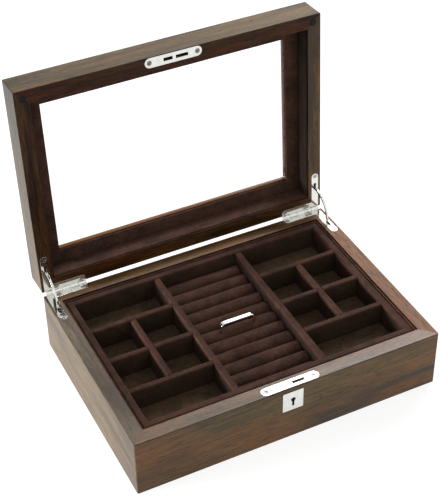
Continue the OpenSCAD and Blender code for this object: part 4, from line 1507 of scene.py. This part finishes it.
@dataclass
class LiftOutTray(SubAssembly):
    """The lift-out tray: walls, floor, dividers and handle, all but the handle in suede."""

    half: Pair = (133.9, 90.4)
    low: float = 32.2
    high_t: float = 26.0
    wall_t: float = 6.5
    floor_t: float = 3.0
    floor_clear: float = 0.05
    drop: float = 0.8
    round_r: float = 1.5
    long_t: float = 6.2
    long_x: float = 43.45
    cross_t: float = 5.8
    row_step: float = 43.4
    lap: float = 0.1
    body: ClassVar[str] = "tray"

    @property
    def floor_z(self) -> float:
        """Height of the tray's floor."""
        return self.low + self.floor_t

    @property
    def divider_h(self) -> float:
        """Height of a divider."""
        return self.high_t - self.floor_t - self.drop

    @property
    def inner(self) -> Pair:
        """Half width and half depth inside the walls."""
        return (self.half[0] - self.wall_t, self.half[1] - self.wall_t)

    @property
    def column(self) -> Pair:
        """Middle and half width of a side column."""
        inner, start = self.inner[0], self.long_x + self.long_t / 2
        return ((inner + start) / 2, (inner - start) / 2)

    def build(self) -> None:
        """Builds the tray's pieces."""
        self.build_walls()
        for number, (name, sign) in enumerate((("left", -1), ("right", 1))):
            self.build_dividers(name, sign, number)
        strap = Strap().shells(self.floor_z)
        self.make("arched_handle", strap, TUMBLED_CHROME, "tray_handle", sharp=60)
        self.shop.dress(SCREW_STEEL, "handle_screws")

    def build_walls(self) -> None:
        """Builds the four mitred walls and the floor."""
        profile = board_profile(self.wall_t, self.high_t, self.round_r, low_r=0.4)
        walls = framed_strips(profile, self.half, self.low, wobble=0.14, phase=0.8, step=1.9)
        for side, shell in zip(Side, walls):
            node = f"tray_{side.name.lower()}_wall"
            # walls whose sides face left and right take more painted shade
            finish = TRAY_SUEDE if side.value[0] else SIDE_SHADE_SUEDE
            self.make("wrapped_" + node, [shell], finish, node)
        span = (self.low + self.floor_clear, self.floor_z)
        floor = slab(self.inner, span, edge=0.5, swell=0.16, phase=0.2)
        self.make("wrapped_tray_floor", [floor], FLOOR_SUEDE, "tray_floor")

    def divider(self, half: float, thick: float, phase: float) -> np.ndarray:
        """Rings of a plain divider as run, depth from its middle, and height."""
        profile = board_profile(thick, self.divider_h, self.round_r, low_r=0.3)
        return wrapped_strip(profile, half, False, 0.13, phase) - [0, thick / 2, 0]

    def notched(self, rings: np.ndarray, from_above: bool) -> np.ndarray:
        """Notches a divider at its middle.

        Within the notch the outline's height is held at the middle height, above or below it.

        Args:
            rings: Rings of the plain divider.
            from_above: Whether the notch is cut from above, and otherwise from below.

        Returns:
            Rings of the notched divider.
        """
        gap, lip = self.cross_t / 2 + self.lap, 0.02
        outside = rings[np.abs(rings[:, 0, 0]) > gap + 0.3]
        near = np.repeat(outside[[np.argmin(np.abs(outside[:, 0, 0]))]], 4, axis=0)
        near[..., 0] = np.array([-gap - lip, -gap, gap, gap + lip])[:, None]
        half_h = self.divider_h / 2
        if from_above:
            near[1:3, :, 2] = np.minimum(near[1:3, :, 2], half_h - self.lap / 2)
        else:
            near[1:3, :, 2] = np.maximum(near[1:3, :, 2], half_h)
        before, after = outside[outside[:, 0, 0] < 0], outside[outside[:, 0, 0] > 0]
        return np.concatenate([before, near, after])

    def build_dividers(self, name: str, sign: int, number: int) -> None:
        """Builds the long, cross and short dividers of one side column.

        Args:
            name: Name of the side.
            sign: -1 on the left and 1 on the right.
            number: Number of the side, which sets how its cloth lies.
        """
        middle, half = self.column
        x = sign * middle
        short = (2 * self.row_step - self.cross_t) / 2
        plain = [self.divider(half, self.cross_t, 1.7 * row + 3 * number) for row in (-1, 1)]
        self.put_dividers(
            f"{name}_long_divider", SIDE_SHADE_SUEDE, False, sign * self.long_x,
            {0: self.divider(self.inner[1], self.long_t, 0.3 + number)},
        )
        self.put_dividers(
            f"{name}_plain_dividers", TRAY_SUEDE, True, x,
            {-self.row_step: plain[0], self.row_step: plain[1]},
        )
        lapped = self.notched(self.divider(half, self.cross_t, 4.4 + number), True)
        self.put_dividers(f"{name}_lapped_divider", TRAY_SUEDE, True, x, {0: lapped})
        upright = self.notched(self.divider(short, self.cross_t, 2.9 + number), False)
        self.put_dividers(f"{name}_short_divider", SIDE_SHADE_SUEDE, False, x, {0: upright})

    def put_dividers(
        self,
        node: str,
        finish: Finish,
        along_x: bool,
        x: float,
        rows: dict[float, np.ndarray],
    ) -> None:
        """Adds one or more dividers as a piece that stands for their node.

        Args:
            node: The node that the piece stands for.
            finish: Its finish, with more painted shade where its sides face left and right.
            along_x: Whether the dividers run along x, and otherwise along y.
            x: Place of the dividers' middle along x.
            rows: Rings of each divider by its place along y.
        """
        shells = []
        for y, rings in rows.items():
            run, depth, height = np.moveaxis(rings, -1, 0)
            across, along = (run, depth) if along_x else (-depth, run)
            shells.append(lofted(line(across + x, along + y, height + self.floor_z)))
        self.make("wrapped_" + node, shells, finish, node)


@dataclass
class RingColumn(SubAssembly):
    """The middle column of eleven padded ring rolls, each wrapped in suede."""

    count: int = 11
    length: float = 80.1
    high: float = 12.0
    inner_d: float = 167.8
    slit: float = 0.5
    floor_z: float = 35.2
    strap_x: float = 17.25
    strap_reach: float = 3.2
    strap_dip: float = 1.7
    end_r: float = 1.8
    foot_r: float = 0.7
    fold_h: float = 0.16
    fold_count: float = 9.0
    fold_reach: float = 6.0
    fold_z: float = 4.0
    crown_z: float = 3.0
    end_pull: float = 0.03
    fill: float = 0.85
    body: ClassVar[str] = "tray"

    @property
    def pitch(self) -> float:
        """Distance from one roll to the next."""
        return self.inner_d / self.count

    def outline(self) -> np.ndarray:
        """Outline of a roll: flat below, upright sides, half-round crown.

        Returns:
            The depth and the height of each point.
        """
        half_w = (self.pitch - self.slit) / 2
        rise = np.linspace(self.foot_r, self.high - half_w - 0.4, 6)
        foot = line(np.linspace(self.foot_r - half_w, half_w - self.foot_r, 9), 0.0)
        crown = arc((0, self.high - half_w), half_w, 0, 180, 33)
        return np.concatenate([foot, line(half_w, rise), crown, line(-half_w, rise[::-1])])

    def roll(self, number: int) -> Shell:
        """One padded roll: upright sides under a half-round crown, drawn in at its soft ends.

        A station s from the end draws the outline in by r minus the height of a quarter circle
        of radius r. The crown rises and falls by two sines along the roll and pulls in by small
        folds near its ends, and the middle roll dips where the handle's strap goes through it.

        Args:
            number: The roll's number from the middle, negative to the front.

        Returns:
            The closed surface.
        """
        half_w, half_l, end_r = (self.pitch - self.slit) / 2, self.length / 2, self.end_r
        turn = np.radians(np.linspace(0, 90, 9))[:-1]
        start = -half_l + end_r - end_r * np.cos(turn)
        middle = np.linspace(end_r - half_l, half_l - end_r, 81)
        x = np.concatenate([start, middle, -start[::-1]])[:, None]
        drawn = end_r * (1 - np.sin(turn))
        inset = np.concatenate([drawn, np.zeros(len(middle)), drawn[::-1]])[:, None]
        y, z = self.outline().T[:, None]
        crown = np.clip((z - self.crown_z) / (self.high - self.crown_z), 0, 1)
        near_end = np.exp(-((half_l - np.abs(x)) / self.fold_reach))
        angle = np.arctan2(z - self.fold_z, y)
        fold = self.fold_h * near_end * np.sin(angle * self.fold_count + 2.1 * number) * crown
        swell = 0.14 * np.sin(x * 0.11 + number * 1.7) + 0.08 * np.sin(x * 0.29 + number * 0.6)
        away = (np.abs(x) - self.strap_x) / self.strap_reach
        dip = 0.0 if number else self.strap_dip * np.exp(-(away**2)) * crown**2
        pull = 1 - self.end_pull * near_end * crown
        ys = y * (1 - inset / half_w) * pull * (1 + fold / half_w)
        zs = z * (1 - inset / self.high) + crown * (swell + fold) - dip
        return lofted(line(x, ys + number * self.pitch, zs + self.floor_z))

    def build(self) -> None:
        """Builds the rolls, the front ones and the back ones standing for their nodes."""
        each_side = self.count // 2
        for number in range(-each_side, each_side + 1):
            node = "middle_ring_roll"
            if number:
                node = ("back" if number > 0 else "front") + "_ring_rolls"
            name = f"padded_ring_roll_{number + each_side + 1:02d}"
            rolls = [self.roll(number)]
            self.make(name, rolls, SUEDE, node, sharp=75, fill=self.fill)


# Studio


@dataclass(frozen=True)
class SoftBox:
    """A large soft lamp: where it stands, how big it is and how bright its face is."""

    name: str
    place: Triple
    aim: Triple
    size: Pair
    watts: float
    spread: float = 180.0

    def build(self) -> None:
        """Hangs the lamp and turns it to its aim."""
        lamp = bpy.data.lights.new(self.name, "AREA")
        lamp.spread = math.radians(self.spread)
        lamp.shape = "RECTANGLE"
        lamp.size, lamp.size_y = self.size
        lamp.energy = self.watts
        holder = bpy.data.objects.new(self.name, lamp)
        holder.location = self.place
        way = Vector(self.aim) - Vector(self.place)
        holder.rotation_euler = way.to_track_quat("-Z", "Y").to_euler()
        bpy.context.scene.collection.objects.link(holder)


@dataclass
class Studio:
    """A white floor and surround, three soft boxes, and the camera of the photograph."""

    eye: Triple = (-0.4131, -0.8215, 0.8720)
    azimuth: float = -25.777
    elevation: float = 38.568
    roll: float = -1.053
    lens: float = 96.62
    sensor: float = 36.0
    clip: Pair = (0.02, 60.0)
    floor_half: float = 7.0
    floor_z: float = -5e-5
    floor_paint: tuple[float, ...] = (0.8, 0.8, 0.8, 1)
    floor_glow: float = 1.36
    glow_share: float = 0.62
    surround: float = 0.52
    lamps: tuple[SoftBox, ...] = (
        SoftBox("over_lamp", (1.6, 1.2, 1.5), (0, 0, 0.1), (1.3, 1.1), 28.0),
        SoftBox("back_lamp", (0.9, 1.25, 1.8), (0, 0, 0.1), (1.1, 0.7), 13.5),
        SoftBox("left_lamp", (-1.3, 0.3, 0.1), (-0.15, 0, -0.17), (1.1, 0.35), 5.8, 30.0),
    )

    def build(self) -> None:
        """Builds the floor, the surround, the lamps and the camera."""
        self.build_floor()
        self.build_surround()
        for lamp in self.lamps:
            lamp.build()
        self.build_camera()
        bpy.context.scene.view_settings.view_transform = "Standard"

    def build_floor(self) -> None:
        """Lays the white floor: dull paint, with a light of its own to the eye alone."""
        half, z = self.floor_half, self.floor_z
        mesh = bpy.data.meshes.new("studio_floor")
        mesh.from_pydata(
            [(-half, -half, z), (half, -half, z), (half, half, z), (-half, half, z)],
            [], [(0, 1, 2, 3)],
        )
        g = Graph(bpy.data.materials.new("white_floor"))
        paint = g.add("ShaderNodeBsdfDiffuse", {"Color": self.floor_paint}).outputs[0]
        light = {"Color": WHITE, "Strength": self.floor_glow}
        glow = g.add("ShaderNodeEmission", light).outputs[0]
        share = g.maths("MULTIPLY", g.background_ray(), self.glow_share)
        mesh.materials.append(g.done(g.blended(share, paint, glow)))
        floor = bpy.data.objects.new("studio_floor", mesh)
        bpy.context.scene.collection.objects.link(floor)

    def build_surround(self) -> None:
        """Makes the world: white to the eye and in reflections, and a plain grey as a light."""
        g = Graph(bpy.data.worlds.new("studio_surround"))
        strength = g.ranged(g.background_ray(), (0, 1), (self.surround, 1.0))
        back = g.add("ShaderNodeBackground", {"Color": WHITE, "Strength": strength})
        bpy.context.scene.world = g.done(back.outputs[0])

    def build_camera(self) -> None:
        """Sets the camera by its azimuth, elevation and roll, at the photograph's place."""
        az, el, roll = (math.radians(v) for v in (self.azimuth, self.elevation, self.roll))
        back = Vector((math.sin(az) * math.cos(el), -math.cos(az) * math.cos(el), math.sin(el)))
        right = (-back).cross(Vector((0, 0, 1))).normalized()
        up = right.cross(-back)
        right, up = (
            math.cos(roll) * right + math.sin(roll) * up,
            -math.sin(roll) * right + math.cos(roll) * up,
        )
        lens = bpy.data.cameras.new("photo_camera")
        lens.lens, lens.sensor_width = self.lens, self.sensor
        lens.clip_start, lens.clip_end = self.clip
        camera = bpy.data.objects.new("photo_camera", lens)
        turn = Matrix((right, up, back)).transposed().to_4x4()
        camera.matrix_world = Matrix.Translation(self.eye) @ turn
        bpy.context.scene.collection.objects.link(camera)
        bpy.context.scene.camera = camera


def main() -> None:
    """Builds the sub-assemblies in order."""
    logging.basicConfig(level=logging.INFO, format="%(name)s: %(message)s")
    Studio().build()
    shop = Workshop()
    for part in (BoxBase, BoxLid, StayHinges, BoxLock, LiftOutTray, RingColumn):
        start = len(shop.made)
        part(shop).build()
        LOG.info("%s: %s", part.__name__, ", ".join(shop.made[start:]))


if __name__ == "__main__":
    main()
